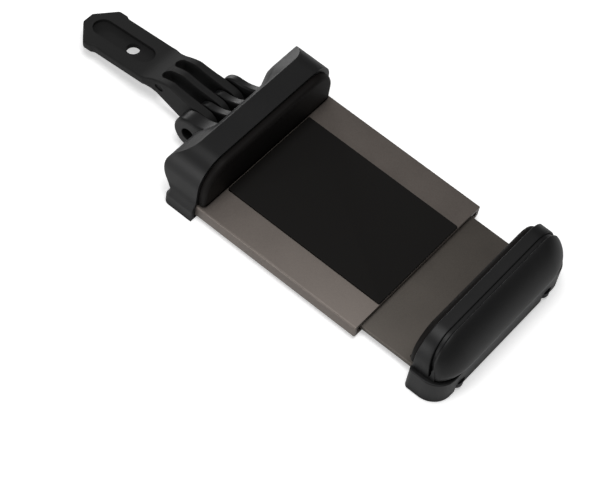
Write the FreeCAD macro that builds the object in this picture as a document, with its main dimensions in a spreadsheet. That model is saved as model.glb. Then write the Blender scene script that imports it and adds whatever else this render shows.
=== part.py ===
import FreeCAD, Part
import math
import os
import re
import Sketcher

from FreeCAD import Placement, Rotation, Vector

# A sprung phone clamp on a hinged arm. Lengths are millimetres and angles are degrees.
# Clamp pieces are drawn from the middle of the outer plate's end edge, on its top face:
# X runs from the fixed jaw to the moving jaw, Y across the plate, Z out of its face.
# The arm is drawn from the middle of its hinge, pointing along -X.

DIMENSIONS = [
    ("plate_width", "54", "outer plate across its side walls"),
    ("plate_length", "61", "outer plate from its end edge to its end inside the fixed jaw"),
    ("plate_seat", "6.4", "length of outer plate held in the fixed jaw"),
    ("plate_depth", "4.7", "height of the outer plate's side walls"),
    ("plate_sheet", "1.2", "thickness of the outer plate's face"),
    ("plate_side", "1.2", "thickness of the outer plate's side walls"),
    ("plate_corner", "0.5", "rounding along the plate's upper corners"),
    ("plate_curl", "1.4", "rounding along the plate's lower corners"),
    ("lip_width", "5.5", "width of the lips under the plate, with the side wall"),
    ("lip_sheet", "0.9", "thickness of the lips"),
    ("face_width", "34", "foam face pad across the plate"),
    ("face_sheet", "0.7", "thickness of the face pad"),
    ("face_margin", "0.5", "bare metal between the face pad and the plate's end edge"),
    ("slider_width", "48.2", "slider plate across"),
    ("slider_sheet", "1.2", "thickness of the slider plate"),
    ("slider_drop", "2.05", "top of the slider plate below the top of the outer plate"),
    ("spring_space", "12.6", "slider plate's hidden end to the fixed jaw's inner face, at rest"),
    ("tail_margin", "8", "slider plate beyond its stop slot, with the jaw pulled out"),
    ("slider_seat", "6.1", "length of slider plate held in the moving jaw"),
    ("run_gap", "0.1", "clearance of parts that slide"),
    ("fit_gap", "0.05", "clearance of parts that are pushed or screwed together"),
    ("phone_gap", "68.6", "between the pads' faces, at rest"),
    ("guide_margin", "1", "guide strips short of the plate's end edge"),
    ("jaw_half", "27.3", "half width of both jaws above their feet"),
    ("jaw_top", "15.1", "top of both jaws above the plate's face"),
    ("jaw_corner", "8.2", "radius of the jaws' upper corners"),
    ("foot_half", "28.6", "half width of the jaws' feet"),
    ("foot_depth", "5.4", "bottom of the feet below the plate's face"),
    ("pad_half", "26.3", "half width of the jaws' rubber pads"),
    ("pad_top", "14", "top of the rubber pads above the plate's face"),
    ("pad_corner", "8.4", "radius of the rubber pads' upper corners"),
    ("pad_recess", "1", "depth of the pads' seats in the jaws"),
    ("pad_edge", "0.8", "bevel along the rubber pads' faces"),
    ("fixed_proud", "2.3", "fixed pad's face proud of its jaw"),
    ("fixed_crown", "6.8", "depth of the fixed jaw's flat top"),
    ("bevel_run", "3.1", "fixed jaw's bevel, outwards"),
    ("bevel_drop", "2.6", "fixed jaw's bevel, downwards"),
    ("bulge_radius", "10", "radius of the fixed jaw's rounded back"),
    ("neck_drop", "0.5", "neck under the fixed jaw's back, below the plate's face"),
    ("foot_length", "9.2", "fixed jaw's foot along the slide"),
    ("foot_corner", "2.5", "radius of the fixed jaw's foot in plan"),
    ("foot_waist", "1.2", "where the fixed jaw's foot starts to narrow, below the plate's face"),
    ("foot_flare", "3", "height over which the foot narrows to the jaw"),
    ("moving_proud", "1.9", "moving pad's face proud of its jaw"),
    ("base_step", "0.3", "moving jaw's base in front of its rim"),
    ("base_length", "11", "moving jaw's base along the slide"),
    ("base_rise", "2.9", "top of the moving jaw's base above the plate's face"),
    ("base_corner", "6", "radius of the base's outer corners in plan"),
    ("base_near_corner", "1.5", "radius of the base's inner corners in plan"),
    ("rim_depth", "3.5", "moving jaw's rim at its top, front to back"),
    ("lean", "8.8", "how far the groove leans from upright"),
    ("groove_width", "1", "groove between the rim and the cover"),
    ("core_inset_side", "1.2", "depth of the groove at the sides"),
    ("core_inset_top", "0.9", "depth of the groove along the top"),
    ("core_reach", "7.2", "core that the cover closes on, from the rim's face"),
    ("cover_inset", "0.3", "cover narrower than the rim, each side"),
    ("cover_crown", "2.8", "depth of the cover's top before it slopes outwards"),
    ("cover_reach", "0.9", "how far the cover overhangs the base"),
    ("cover_belly", "6.6", "height of the cover's widest line above the plate's face"),
    ("cover_corner", "5", "radius of the cover's ends in plan"),
    ("cover_edge", "2", "rounding round the cover's outer edge"),
    ("rim_edge", "0.5", "bevel along the jaws' inner edges"),
    ("recess_radius", "2.5", "screw recesses in the base's outer edge"),
    ("recess_spread", "19", "screw recesses from the middle"),
    ("recess_inset", "1.5", "screw recesses' middles inside the base's outer face"),
    ("recess_roof", "2", "roof of the screw recesses below the plate's face"),
    ("hinge_reach", "16.2", "hinge axis from the fixed jaw's inner face"),
    ("hinge_level", "2", "hinge axis above the plate's face"),
    ("ear_radius", "5.2", "radius of the ears round the hinge"),
    ("ear_clear", "7.3", "ears' inner faces from the middle"),
    ("near_ear_width", "4.9", "width of the ear at the front"),
    ("far_ear_width", "2.5", "width of the ear at the back"),
    ("ear_hold", "1.2", "length of the ears' roots inside the fixed jaw's foot"),
    ("ear_crest", "10.2", "top of the ears where they meet the jaw"),
    ("ear_base", "4.4", "bottom of the ears at the jaw, below the plate's face"),
    ("ear_sweep", "10", "radius of the ears' hollow top"),
    ("web_radius", "4.8", "radius of the two webs round the hinge"),
    ("web_width", "2.3", "width of each web"),
    ("slot_width", "2.9", "slots between the arm's fingers"),
    ("slot_offset", "2.65", "middle of each slot from the arm's middle"),
    ("slot_reach", "15.6", "middle of the slots' round ends from the hinge"),
    ("pin_radius", "2.1", "hinge pin"),
    ("pin_gap", "0.06", "running fit of the hinge pin"),
    ("pin_sunk", "2.7", "near end of the hinge pin sunk in its ear"),
    ("knuckle_radius", "4.1", "arm's fingers round the hinge"),
    ("fork_half", "7", "half width of the arm at its hinge"),
    ("fork_waist", "6.25", "half width of the arm where its ramp starts"),
    ("ramp_top", "17", "start of the arm's ramp from the hinge"),
    ("ramp_foot", "21", "end of the arm's ramp from the hinge"),
    ("fork_rise", "6.2", "top of the arm above the hinge, where its ramp starts"),
    ("belly_reach", "7.6", "lowest corner of the arm's underside from the hinge"),
    ("belly_drop", "3.3", "lowest corner of the arm's underside below the hinge"),
    ("haunch_reach", "16.3", "underside's upper corner from the hinge"),
    ("haunch_drop", "0.35", "underside's upper corner below the hinge"),
    ("tongue_rise", "3.45", "top of the tongue above the hinge"),
    ("tongue_sheet", "2.6", "thickness of the tongue"),
    ("tongue_half", "7.15", "half width of the tongue"),
    ("head_length", "8.6", "tongue's head along the arm"),
    ("head_half", "7.7", "half width of the tongue's head"),
    ("nose_length", "5.4", "head's slanted corners along the arm"),
    ("arm_reach", "47.4", "end of the tongue from the hinge"),
    ("nose_half", "2.1", "half width of the tongue's end"),
    ("tongue_edge", "0.5", "bevel along the tongue's upper edges"),
    ("channel_start", "26.3", "first round end of the tongue's sunk channel from the hinge"),
    ("channel_gap", "5.7", "second round end of the sunk channel from the tongue's end"),
    ("channel_width", "6", "tongue's sunk channel across"),
    ("channel_depth", "0.7", "depth of the tongue's sunk channel"),
    ("tongue_hole", "4.2", "hole through the tongue, across"),
    ("hole_reach", "30.6", "hole through the tongue from the hinge"),
    ("dimple_reach", "15", "dimple in the arm's near side from the hinge"),
    ("dimple_level", "2.7", "dimple above the hinge"),
    ("dimple_stretch", "0.6", "middles of the dimple's round ends from its own middle"),
    ("dimple_radius", "0.9", "radius of the dimple's round ends"),
    ("dimple_depth", "1.4", "bottom of the dimple inside the fork's widest place"),
    ("arm_tilt", "-6.35", "arm's rest angle, negative with its tip lowered"),
    ("spring_offset", "12", "springs from the middle"),
    ("spring_inset", "3", "springs' fixed ends behind the fixed jaw's inner face"),
    ("hook_inset", "2", "springs' moving ends from the slider plate's hidden end"),
    ("spring_wire", "0.45", "spring wire across"),
    ("spring_coil", "2.45", "spring across its coils"),
    ("spring_level", "2.95", "springs' middle below the plate's face"),
    ("spring_loop", "1.2", "radius of the springs' end loops at the middle of the wire"),
    ("spring_turns", "8", "coils in each spring"),
    ("spring_flats", "8", "straight lengths that each coil is drawn with"),
    ("hook_radius", "0.9", "pins that hold the springs"),
    ("hook_low", "4.4", "bottom of the spring pins below the plate's face"),
    ("stop_reach", "9", "stop pin from the plate's end edge"),
    ("stop_radius", "1.5", "stop pin"),
    ("cover_sheet", "0.6", "thickness of the back cover"),
    ("cover_lap", "3.4", "back cover's lap under each lip"),
    ("cover_margin", "1.5", "back cover short of the plate's end edge"),
    ("small_screw", "1", "radius of the back cover's screws"),
    ("far_screw_gap", "6.6", "back cover's last screws to the fixed jaw's inner face"),
    ("small_screw_near", "6", "back cover's first screws from the plate's end edge"),
    ("fixed_screw_inset", "3.4", "fixed jaw's screws behind its inner face"),
    ("jaw_screw", "1.1", "radius of the screws that hold the jaws"),
    ("jaw_head", "1.6", "radius of their heads"),
    ("fixed_screw_top", "2.2", "top of the fixed jaw's screws below the plate's face"),
    ("clamp_screw_inset", "3.2", "clamp screws from the base's inner face"),
    ("clamp_screw_offset", "12", "clamp screws from the middle"),
    ("clamp_screw_top", "2.2", "top of the clamp screws above the plate's face"),
    ("cap_head", "2.1", "radius of the cover screws' heads"),
    ("cap_head_height", "1.8", "height of the cover screws' heads"),
    ("cap_screw_top", "9", "top of the cover screws above the plate's face"),
    ("drive_radius", "0.8", "hexagon sockets in the screws, to their corners"),
]

# Places worked out from the sizes above.
PLACES = [
    ("plate_half", "=plate_width / 2"),
    ("face_half", "=face_width / 2"),
    ("small_screw_offset", "=plate_half - lip_width + cover_lap / 2"),
    ("fixed_screw_offset", "=plate_half - lip_width / 2"),
    ("slider_half", "=slider_width / 2"),
    ("slot_radius", "=slot_width / 2"),
    ("channel_radius", "=channel_width / 2"),
    ("hole_radius", "=tongue_hole / 2"),
    ("web_half", "=web_width / 2"),
    ("fixed_rim", "=plate_length - plate_seat"),
    ("foot_back", "=fixed_rim + foot_length"),
    ("hinge_back", "=fixed_rim + hinge_reach"),
    ("ear_root", "=foot_back - ear_hold"),
    ("slider_tail", "=fixed_rim - spring_space"),
    ("travel", "=slider_tail - tail_margin - stop_reach"),
    ("spring_anchor", "=fixed_rim + spring_inset"),
    ("spring_hook", "=slider_tail - hook_inset"),
    ("small_screw_far", "=fixed_rim - far_screw_gap"),
    ("fixed_screw_back", "=fixed_rim + fixed_screw_inset"),
    ("fixed_face", "=fixed_rim - fixed_proud"),
    ("moving_face", "=phone_gap - fixed_face"),
    ("moving_rim", "=moving_face + moving_proud"),
    ("base_front", "=moving_rim - base_step"),
    ("base_back", "=base_front + base_length"),
    ("slider_end", "=base_front + slider_seat"),
    ("crown_back", "=fixed_rim + fixed_crown"),
    ("bevel_back", "=crown_back + bevel_run"),
    ("bevel_level", "=jaw_top - bevel_drop"),
    ("rim_back_top", "=moving_rim + rim_depth"),
    ("rim_back_low", "=rim_back_top + tan(lean * 1deg) * (jaw_top - foot_low)"),
    ("foot_low", "=base_rise - 1"),
    ("cover_front_top", "=rim_back_top + groove_width"),
    ("cover_front_low", "=cover_front_top + tan(lean * 1deg) * (jaw_top - base_rise)"),
    ("cover_crown_back", "=cover_front_top + cover_crown"),
    ("cover_belly_back", "=base_back + cover_reach"),
    ("bore_radius", "=pin_radius + pin_gap"),
    ("head_start", "=arm_reach - head_length"),
    ("head_shoulder", "=arm_reach - nose_length"),
    ("channel_end", "=arm_reach - channel_gap"),
    ("cap_screw_at", "=base_back - recess_inset"),
    ("tip_level", "=tongue_rise - tongue_edge"),
    ("arm_tip_back", "=hinge_back + arm_reach * cos(arm_tilt * 1deg) - tip_level * sin(arm_tilt * 1deg)"),
    ("frame_shift", "=(arm_tip_back - cover_belly_back) / 2"),
]

document = FreeCAD.newDocument("phone_holder")
sheet = document.addObject("Spreadsheet::Sheet", "dims")
for row, (alias, size, meaning) in enumerate(DIMENSIONS, start=1):
    sheet.set("A%d" % row, meaning)
    sheet.set("B%d" % row, size)
    sheet.setAlias("B%d" % row, alias)
for row, (alias, formula) in enumerate(PLACES, start=len(DIMENSIONS) + 1):
    sheet.set("B%d" % row, formula)
    sheet.setAlias("B%d" % row, alias)
document.recompute()

TERM = re.compile(r"([+-]?)\s*([a-z_]+|[0-9.]+)")
FAR = 60.0
FULL_TURN = 360.0
# How near an edge has to lie to a place to be taken as lying there, and the least cut that counts.
TOUCH = 0.01


def value(size):
    """A sum of sheet names and numbers, such as 'jaw_half - pad_recess', as a number."""
    total = 0.0
    for sign, term in TERM.findall(size):
        amount = float(term) if term[0].isdigit() else float(sheet.get(term))
        total += -amount if sign == "-" else amount
    return total


def bound(size):
    """The same sum as an expression on the sheet."""
    return re.sub(r"[a-z_]+", lambda name: "dims." + name.group(), size)


def new_body(label):
    """A clamp piece, drawn in the plate's own directions and set down in the part's frame."""
    body = document.addObject("PartDesign::Body", label)
    body.Label = label
    body.Placement = Placement(Vector(value("frame_shift"), 0, value("foot_depth")), Rotation())
    body.setExpression("Placement.Base.x", "dims.frame_shift")
    body.setExpression("Placement.Base.z", "dims.foot_depth")
    return body


def new_sketch(body, name, plane, offset="0"):
    """A sketch on one of the body's origin planes, moved along the plane's normal."""
    support = [item for item in body.Origin.OriginFeatures if item.Role == plane + "_Plane"][0]
    sketch = body.newObject("Sketcher::SketchObject", name)
    sketch.AttachmentSupport = [(support, "")]
    sketch.MapMode = "FlatFace"
    sketch.AttachmentOffset = Placement(Vector(0, 0, value(offset)), Rotation())
    if offset != "0":
        sketch.setExpression("AttachmentOffset.Base.z", bound(offset))
    return sketch


def constrain(sketch, kind, *where, size=None):
    """One constraint, bound to the sheet where it has a size."""
    if size is None:
        sketch.addConstraint(Sketcher.Constraint(kind, *where))
        return
    number = sketch.addConstraint(Sketcher.Constraint(kind, *where, value(size)))
    if re.search("[a-z]", size):
        sketch.setExpression("Constraints[%d]" % number, bound(size))


def pin_point(sketch, geometry, end, across, up):
    """Hold one end of a line or arc at a place measured from the sketch's origin."""
    constrain(sketch, "DistanceX", -1, 1, geometry, end, size=across)
    constrain(sketch, "DistanceY", -1, 1, geometry, end, size=up)


def bowed_arc(start, end, radius):
    """Arc from start to end, bulging to the right of that direction when radius is positive."""
    along = end - start
    side = Vector(along.y, -along.x, 0).normalize() * (1 if radius > 0 else -1)
    sag = abs(radius) - math.sqrt(radius * radius - along.Length ** 2 / 4)
    middle = (start + end) / 2 + side * sag
    return Part.Arc(start, middle, end)


def outline(sketch, corners):
    """Closed outline through its corners, named round the shape.

    A corner is (across, up), with a third entry for its rounding radius, or with None and a
    fourth entry for the radius of a bowed side that starts at it."""
    first = sketch.GeometryCount
    count = len(corners)
    points = [Vector(value(corner[0]), value(corner[1]), 0) for corner in corners]
    rounds = [corner[2] if len(corner) > 2 else None for corner in corners]
    bows = [corner[3] if len(corner) > 3 else None for corner in corners]
    starts, ends = list(points), list(points)
    for index, size in enumerate(rounds):
        if size:
            before = (points[index - 1] - points[index]).normalize()
            after = (points[(index + 1) % count] - points[index]).normalize()
            reach = value(size) / math.tan(before.getAngle(after) / 2)
            ends[index] = points[index] + before * reach
            starts[index] = points[index] + after * reach
    for index, bow in enumerate(bows):
        start, end = starts[index], ends[(index + 1) % count]
        side = bowed_arc(start, end, value(bow)) if bow else Part.LineSegment(start, end)
        sketch.addGeometry(side, False)
        if bow:
            constrain(sketch, "Radius", first + index, size=bow.lstrip("-"))
    for index, size in enumerate(rounds):
        before, after = first + (index - 1) % count, first + index
        if not size:
            before_end = 2 if not bows[index - 1] else side_end(sketch, before, points[index])
            after_end = 1 if not bows[index] else side_end(sketch, after, points[index])
            constrain(sketch, "Coincident", before, before_end, after, after_end)
            pin_point(sketch, after, after_end, corners[index][0], corners[index][1])
            continue
        round_corner(sketch, before, after, points[index], ends[index], starts[index], size)
        mark = sketch.addGeometry(Part.Point(points[index]), True)
        constrain(sketch, "PointOnObject", mark, 1, before)
        constrain(sketch, "PointOnObject", mark, 1, after)
        pin_point(sketch, mark, 1, corners[index][0], corners[index][1])


def side_end(sketch, geometry, point):
    """Which end of an arc lies at the point: 1 for its start, 2 for its end."""
    start = sketch.getPoint(geometry, 1)
    return 1 if start.distanceToPoint(point) < sketch.getPoint(geometry, 2).distanceToPoint(point) else 2


def round_corner(sketch, before, after, corner, arrive, leave, size):
    """Arc tangent to the two sides that meet at the corner."""
    inward = ((arrive + leave) / 2 - corner).normalize()
    spread = (arrive - corner).Length
    centre = corner + inward * math.hypot(spread, value(size))
    middle = centre - inward * value(size)
    arc = sketch.addGeometry(Part.Arc(arrive, middle, leave), False)
    constrain(sketch, "Tangent", before, 2, arc, side_end(sketch, arc, arrive))
    constrain(sketch, "Tangent", arc, side_end(sketch, arc, leave), after, 1)
    constrain(sketch, "Radius", arc, size=size)


def circle(sketch, across, up, radius):
    """Circle held by its middle and radius."""
    middle = Vector(value(across), value(up), 0)
    number = sketch.addGeometry(Part.Circle(middle, Vector(0, 0, 1), value(radius)), False)
    pin_point(sketch, number, 3, across, up)
    constrain(sketch, "Radius", number, size=radius)


def stadium(sketch, first, second, up, radius):
    """Slot along the sketch's first direction between the middles of its round ends."""
    low, high, level, size = value(first), value(second), value(up), value(radius)
    top = sketch.addGeometry(Part.LineSegment(Vector(high, level + size, 0), Vector(low, level + size, 0)), False)
    bottom = sketch.addGeometry(Part.LineSegment(Vector(low, level - size, 0), Vector(high, level - size, 0)), False)
    ends = []
    for middle, turn in ((low, math.pi / 2), (high, -math.pi / 2)):
        whole = Part.Circle(Vector(middle, level, 0), Vector(0, 0, 1), size)
        ends.append(sketch.addGeometry(Part.ArcOfCircle(whole, turn, turn + math.pi), False))
    constrain(sketch, "Tangent", top, 2, ends[0], 1)
    constrain(sketch, "Tangent", ends[0], 2, bottom, 1)
    constrain(sketch, "Tangent", bottom, 2, ends[1], 1)
    constrain(sketch, "Tangent", ends[1], 2, top, 1)
    for end, across in zip(ends, (first, second)):
        pin_point(sketch, end, 3, across, up)
    constrain(sketch, "Radius", ends[0], size=radius)
    constrain(sketch, "Equal", ends[0], ends[1])


def crown(half, top, corner, low):
    """Outline of a jaw seen along the slide: upright sides and a top with round corners."""
    other = mirrored(half)
    return [(other, low), (half, low), (half, top, corner), (other, top, corner)]


def feature(body, kind, name, sketch, length=None, symmetric=False, reversed_way=False):
    """A pad or pocket of a sketch, as long as the sheet says, or through everything."""
    made = body.newObject("PartDesign::" + kind, name)
    made.Profile = sketch
    made.Reversed = reversed_way
    if symmetric:
        made.SideType = "Symmetric"
    if length is None:
        made.Type = "ThroughAll"
    else:
        made.Length = value(length)
        made.setExpression("Length", bound(length))
    document.recompute()
    return made


def cut(body, name, sketch, length=None, symmetric=False, reversed_way=False):
    """A pocket that has to take something away."""
    before = body.Tip.Shape.Volume
    made = feature(body, "Pocket", name, sketch, length, symmetric, reversed_way)
    if made.Shape.Volume > before - TOUCH:
        raise ValueError("%s cuts nothing" % name)
    return made


def trim(body, name, plane, corners):
    """Cut away everything outside an outline, right through the body."""
    sketch = new_sketch(body, name + "_outline", plane)
    far = str(2 * FAR)
    outline(sketch, [("-" + far, "-" + far), (far, "-" + far), (far, far), ("-" + far, far)])
    outline(sketch, corners)
    return cut(body, name, sketch, symmetric=True)


def edges_between(shape, low, high):
    """Names of the edges that lie wholly in the box between two corners."""
    names = []
    for number, edge in enumerate(shape.Edges, start=1):
        box = edge.BoundBox
        if all(a <= b for a, b in zip(low, (box.XMin, box.YMin, box.ZMin))) and all(
            a >= b for a, b in zip(high, (box.XMax, box.YMax, box.ZMax))
        ):
            names.append("Edge%d" % number)
    return names


def soften(body, kind, name, radius, low, high, keep=lambda edge: True):
    """Fillet or chamfer the edges of the body's tip that lie in a box."""
    base = body.Tip
    names = edges_between(base.Shape, low, high)
    names = [item for item in names if keep(base.Shape.getElement(item))]
    if not names:
        raise ValueError("%s finds no edge" % name)
    made = body.newObject("PartDesign::" + kind, name)
    made.Base = (base, names)
    key = "Radius" if kind == "Fillet" else "Size"
    setattr(made, key, value(radius))
    made.setExpression(key, bound(radius))
    document.recompute()
    return made


def countersink(body, name, radius, head, level):
    """Slope the mouths of screw holes, found by their radius and level."""
    base = body.Tip
    hole = value(radius + " + fit_gap")
    names = []
    for number, edge in enumerate(base.Shape.Edges, start=1):
        level_edge = abs(edge.BoundBox.Center.z - value(level)) < TOUCH and edge.BoundBox.ZLength < TOUCH
        if level_edge and isinstance(edge.Curve, Part.Circle) and abs(edge.Curve.Radius - hole) < TOUCH:
            names.append("Edge%d" % number)
    if not names:
        raise ValueError("%s finds no hole" % name)
    made = body.newObject("PartDesign::Chamfer", name)
    made.Base = (base, names)
    size = "%s - %s" % (head, radius)
    made.Size = value(size)
    made.setExpression("Size", bound(size))
    document.recompute()


def plate_section():
    """Section of the outer plate: a channel whose lips turn in under its side walls."""
    sides = []
    for sign, order in (("", 1), ("-", -1)):
        inner = "-plate_half + plate_side" if sign else "plate_half - plate_side"
        lip = "-plate_half + lip_width" if sign else "plate_half - lip_width"
        half = [
            (inner, "-plate_sheet"),
            (inner, "-plate_depth + lip_sheet"),
            (lip, "-plate_depth + lip_sheet"),
            (lip, "-plate_depth"),
            (sign + "plate_half", "-plate_depth", "plate_curl"),
            (sign + "plate_half", "0", "plate_corner"),
        ]
        sides.append(half[::order])
    return sides[1] + sides[0]


def make_outer_plate():
    body = new_body("outer_plate")
    sketch = new_sketch(body, "channel_section", "YZ")
    outline(sketch, plate_section())
    feature(body, "Pad", "channel", sketch, "plate_length", reversed_way=True)
    sketch = new_sketch(body, "stop_hole_sketch", "XY")
    circle(sketch, "-stop_reach", "0", "stop_radius + fit_gap")
    for side in ("", "-"):
        circle(sketch, "-spring_anchor", side + "spring_offset", "hook_radius + fit_gap")
    cut(body, "pin_holes", sketch, "plate_sheet + 0.5")
    sketch = new_sketch(body, "lip_holes_sketch", "XY", "-plate_depth - 0.1")
    for side in ("", "-"):
        for along in ("-small_screw_near", "-small_screw_far"):
            circle(sketch, along, side + "small_screw_offset", "small_screw + fit_gap")
        circle(sketch, "-fixed_screw_back", side + "fixed_screw_offset", "jaw_screw + fit_gap")
    cut(body, "lip_holes", sketch, "lip_sheet + 0.3", reversed_way=True)
    return body


def make_face_pad():
    body = new_body("face_pad")
    sketch = new_sketch(body, "face_outline", "XY")
    far = "-fixed_face + run_gap + run_gap"
    outline(sketch, [
        ("-face_margin", "-face_half"), ("-face_margin", "face_half"),
        (far, "face_half"), (far, "-face_half"),
    ])
    feature(body, "Pad", "face_foam", sketch, "face_sheet")
    return body


def make_guide_strip(label, side):
    """Liner of one side wall: a channel on its side that the slider's edge runs in."""
    body = new_body(label)
    sketch = new_sketch(body, "guide_section", "YZ", "-guide_margin")
    wall = "plate_half - plate_side"
    web = "slider_half + run_gap"
    tip = "plate_half - lip_width"
    above = "-slider_drop + run_gap"
    below = "-slider_drop - slider_sheet - run_gap"
    floor = "-plate_depth + lip_sheet"
    corners = [
        (wall, "-plate_sheet"), (wall, floor), (tip, floor), (tip, below),
        (web, below), (web, above), (tip, above), (tip, "-plate_sheet"),
    ]
    if side < 0:
        flipped = [(mirrored(across), up) for across, up in corners]
        corners = flipped[::-1]
    outline(sketch, corners)
    feature(body, "Pad", "guide", sketch, "fixed_rim - guide_margin - fixed_proud", reversed_way=True)
    return body


def mirrored(size):
    """A sum of names with every sign turned."""
    terms = ["%s%s" % ("+" if sign == "-" else "-", name) for sign, name in TERM.findall(size)]
    return "".join(terms).lstrip("+")


def make_slider_plate():
    body = new_body("slider_plate")
    sketch = new_sketch(body, "slider_outline", "XY", "-slider_drop")
    outline(sketch, [
        ("-slider_tail", "-slider_half"), ("slider_end", "-slider_half"),
        ("slider_end", "slider_half"), ("-slider_tail", "slider_half"),
    ])
    feature(body, "Pad", "slider_blank", sketch, "slider_sheet", reversed_way=True)
    sketch = new_sketch(body, "slider_holes_sketch", "XY", "-slider_drop + 0.1")
    stadium(sketch, "-stop_reach - travel", "-stop_reach", "0", "stop_radius + run_gap")
    for side in ("", "-"):
        circle(sketch, "-spring_hook", side + "spring_offset", "hook_radius + fit_gap")
        circle(sketch, "base_front + clamp_screw_inset", side + "clamp_screw_offset", "jaw_screw + fit_gap")
    cut(body, "slider_holes", sketch, "slider_sheet + 0.3")
    return body


def jaw_recess(body, name, at, way):
    """Seat of a rubber pad, sunk into a jaw's inner face."""
    low = "0" if way < 0 else "base_rise"
    sketch = new_sketch(body, name + "_outline", "YZ", at)
    outline(sketch, crown("pad_half + fit_gap", "pad_top + fit_gap", "pad_corner + fit_gap", low))
    cut(body, name, sketch, "pad_recess", reversed_way=way > 0)


def bevel_rim(body, at, low):
    """Bevel a jaw's inner face along its sides and top, down to a level."""
    face, half, level = value(at), value("jaw_half"), value(low)
    soften(
        body, "Chamfer", "rim_bevel", "rim_edge",
        (face - TOUCH, -half - TOUCH, level - TOUCH), (face + TOUCH, half + TOUCH, FAR),
        keep=lambda edge: edge.BoundBox.ZMax > level + TOUCH,
    )


def make_fixed_jaw():
    body = new_body("fixed_jaw_shell")
    sketch = new_sketch(body, "jaw_profile", "XZ")
    outline(sketch, [
        ("-fixed_rim", "-foot_depth"),
        ("-fixed_rim", "jaw_top"),
        ("-crown_back", "jaw_top"),
        ("-bevel_back", "bevel_level", None, "-bulge_radius"),
        ("-bevel_back", "-neck_drop"),
        ("-foot_back", "-foot_depth"),
    ])
    feature(body, "Pad", "jaw_block", sketch, "jaw_half + jaw_half", symmetric=True)
    trim(body, "jaw_crown", "YZ", crown("jaw_half", "jaw_top", "jaw_corner", "-foot_depth"))
    sketch = new_sketch(body, "foot_outline", "XY", "-foot_depth")
    foot_corners = [
        ("-fixed_rim", "-foot_half"), ("-fixed_rim", "foot_half"),
        ("-foot_back", "foot_half", "foot_corner"), ("-foot_back", "-foot_half", "foot_corner"),
    ]
    outline(sketch, foot_corners)
    feature(body, "Pad", "foot", sketch, "foot_depth - foot_waist")
    sketch = new_sketch(body, "flare_outline", "XY", "-foot_waist")
    outline(sketch, foot_corners)
    flare = feature(body, "Pad", "foot_flare", sketch, "foot_flare")
    flare.TaperAngle = -math.degrees(math.atan(value("foot_half - jaw_half") / value("foot_flare")))
    flare.setExpression("TaperAngle", "-atan((dims.foot_half - dims.jaw_half) / dims.foot_flare)")
    document.recompute()
    ears = (
        ("near_ear", "ear_clear", "near_ear_width", "ear_radius"),
        ("far_ear", "-ear_clear - far_ear_width", "far_ear_width", "ear_radius"),
        ("near_web", "slot_offset - web_half", "web_width", "web_radius"),
        ("far_web", "-slot_offset - web_half", "web_width", "web_radius"),
    )
    for name, at, width, radius in ears:
        add_ear(body, name, at, width, radius)
    bevel_rim(body, "-fixed_rim", "-foot_waist")
    jaw_recess(body, "pad_seat", "-fixed_rim", -1)
    sketch = new_sketch(body, "plate_socket_sketch", "YZ", "-fixed_rim")
    outline(sketch, [
        ("-plate_half - fit_gap", "-plate_depth - fit_gap"), ("plate_half + fit_gap", "-plate_depth - fit_gap"),
        ("plate_half + fit_gap", "fit_gap"), ("-plate_half - fit_gap", "fit_gap"),
    ])
    cut(body, "plate_socket", sketch, "plate_length - fixed_rim + fit_gap")
    sketch = new_sketch(body, "hinge_bore_sketch", "XZ")
    circle(sketch, "-hinge_back", "hinge_level", "bore_radius")
    cut(body, "hinge_bore", sketch, symmetric=True)
    sketch = new_sketch(body, "jaw_screw_holes_sketch", "XY", "-foot_depth")
    for side in ("", "-"):
        circle(sketch, "-fixed_screw_back", side + "fixed_screw_offset", "jaw_screw + fit_gap")
    cut(body, "jaw_screw_holes", sketch, "foot_depth - plate_depth + 0.1", reversed_way=True)
    countersink(body, "jaw_countersinks", "jaw_screw", "jaw_head", "-foot_depth")
    return body


def add_ear(body, name, at, width, radius):
    """One ear or web: a knuckle round the hinge, and a plate with a hollow top to the jaw."""
    sketch = new_sketch(body, name + "_knuckle_sketch", "XZ", at)
    circle(sketch, "-hinge_back", "hinge_level", radius)
    feature(body, "Pad", name + "_knuckle", sketch, width)
    sketch = new_sketch(body, name + "_plate_sketch", "XZ", at)
    outline(sketch, [
        ("-hinge_back", "hinge_level - " + radius),
        ("-ear_root", "-ear_base"),
        ("-ear_root", "ear_crest"),
        ("-bevel_back", "ear_crest", None, "-ear_sweep"),
        ("-hinge_back", "hinge_level + " + radius),
    ])
    feature(body, "Pad", name + "_plate", sketch, width)


def make_pad(label, face, back, low, way):
    """Rubber face of a jaw, with its front edges bevelled."""
    body = new_body(label)
    sketch = new_sketch(body, "pad_outline", "YZ", back)
    outline(sketch, crown("pad_half", "pad_top", "pad_corner", low))
    feature(body, "Pad", "pad_block", sketch, "pad_recess + " + way, reversed_way=value(face) < value(back))
    front = value(face)
    soften(
        body, "Chamfer", "pad_bevel", "pad_edge",
        (front - TOUCH, -FAR, value(low) - TOUCH), (front + TOUCH, FAR, FAR),
    )
    return body


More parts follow.
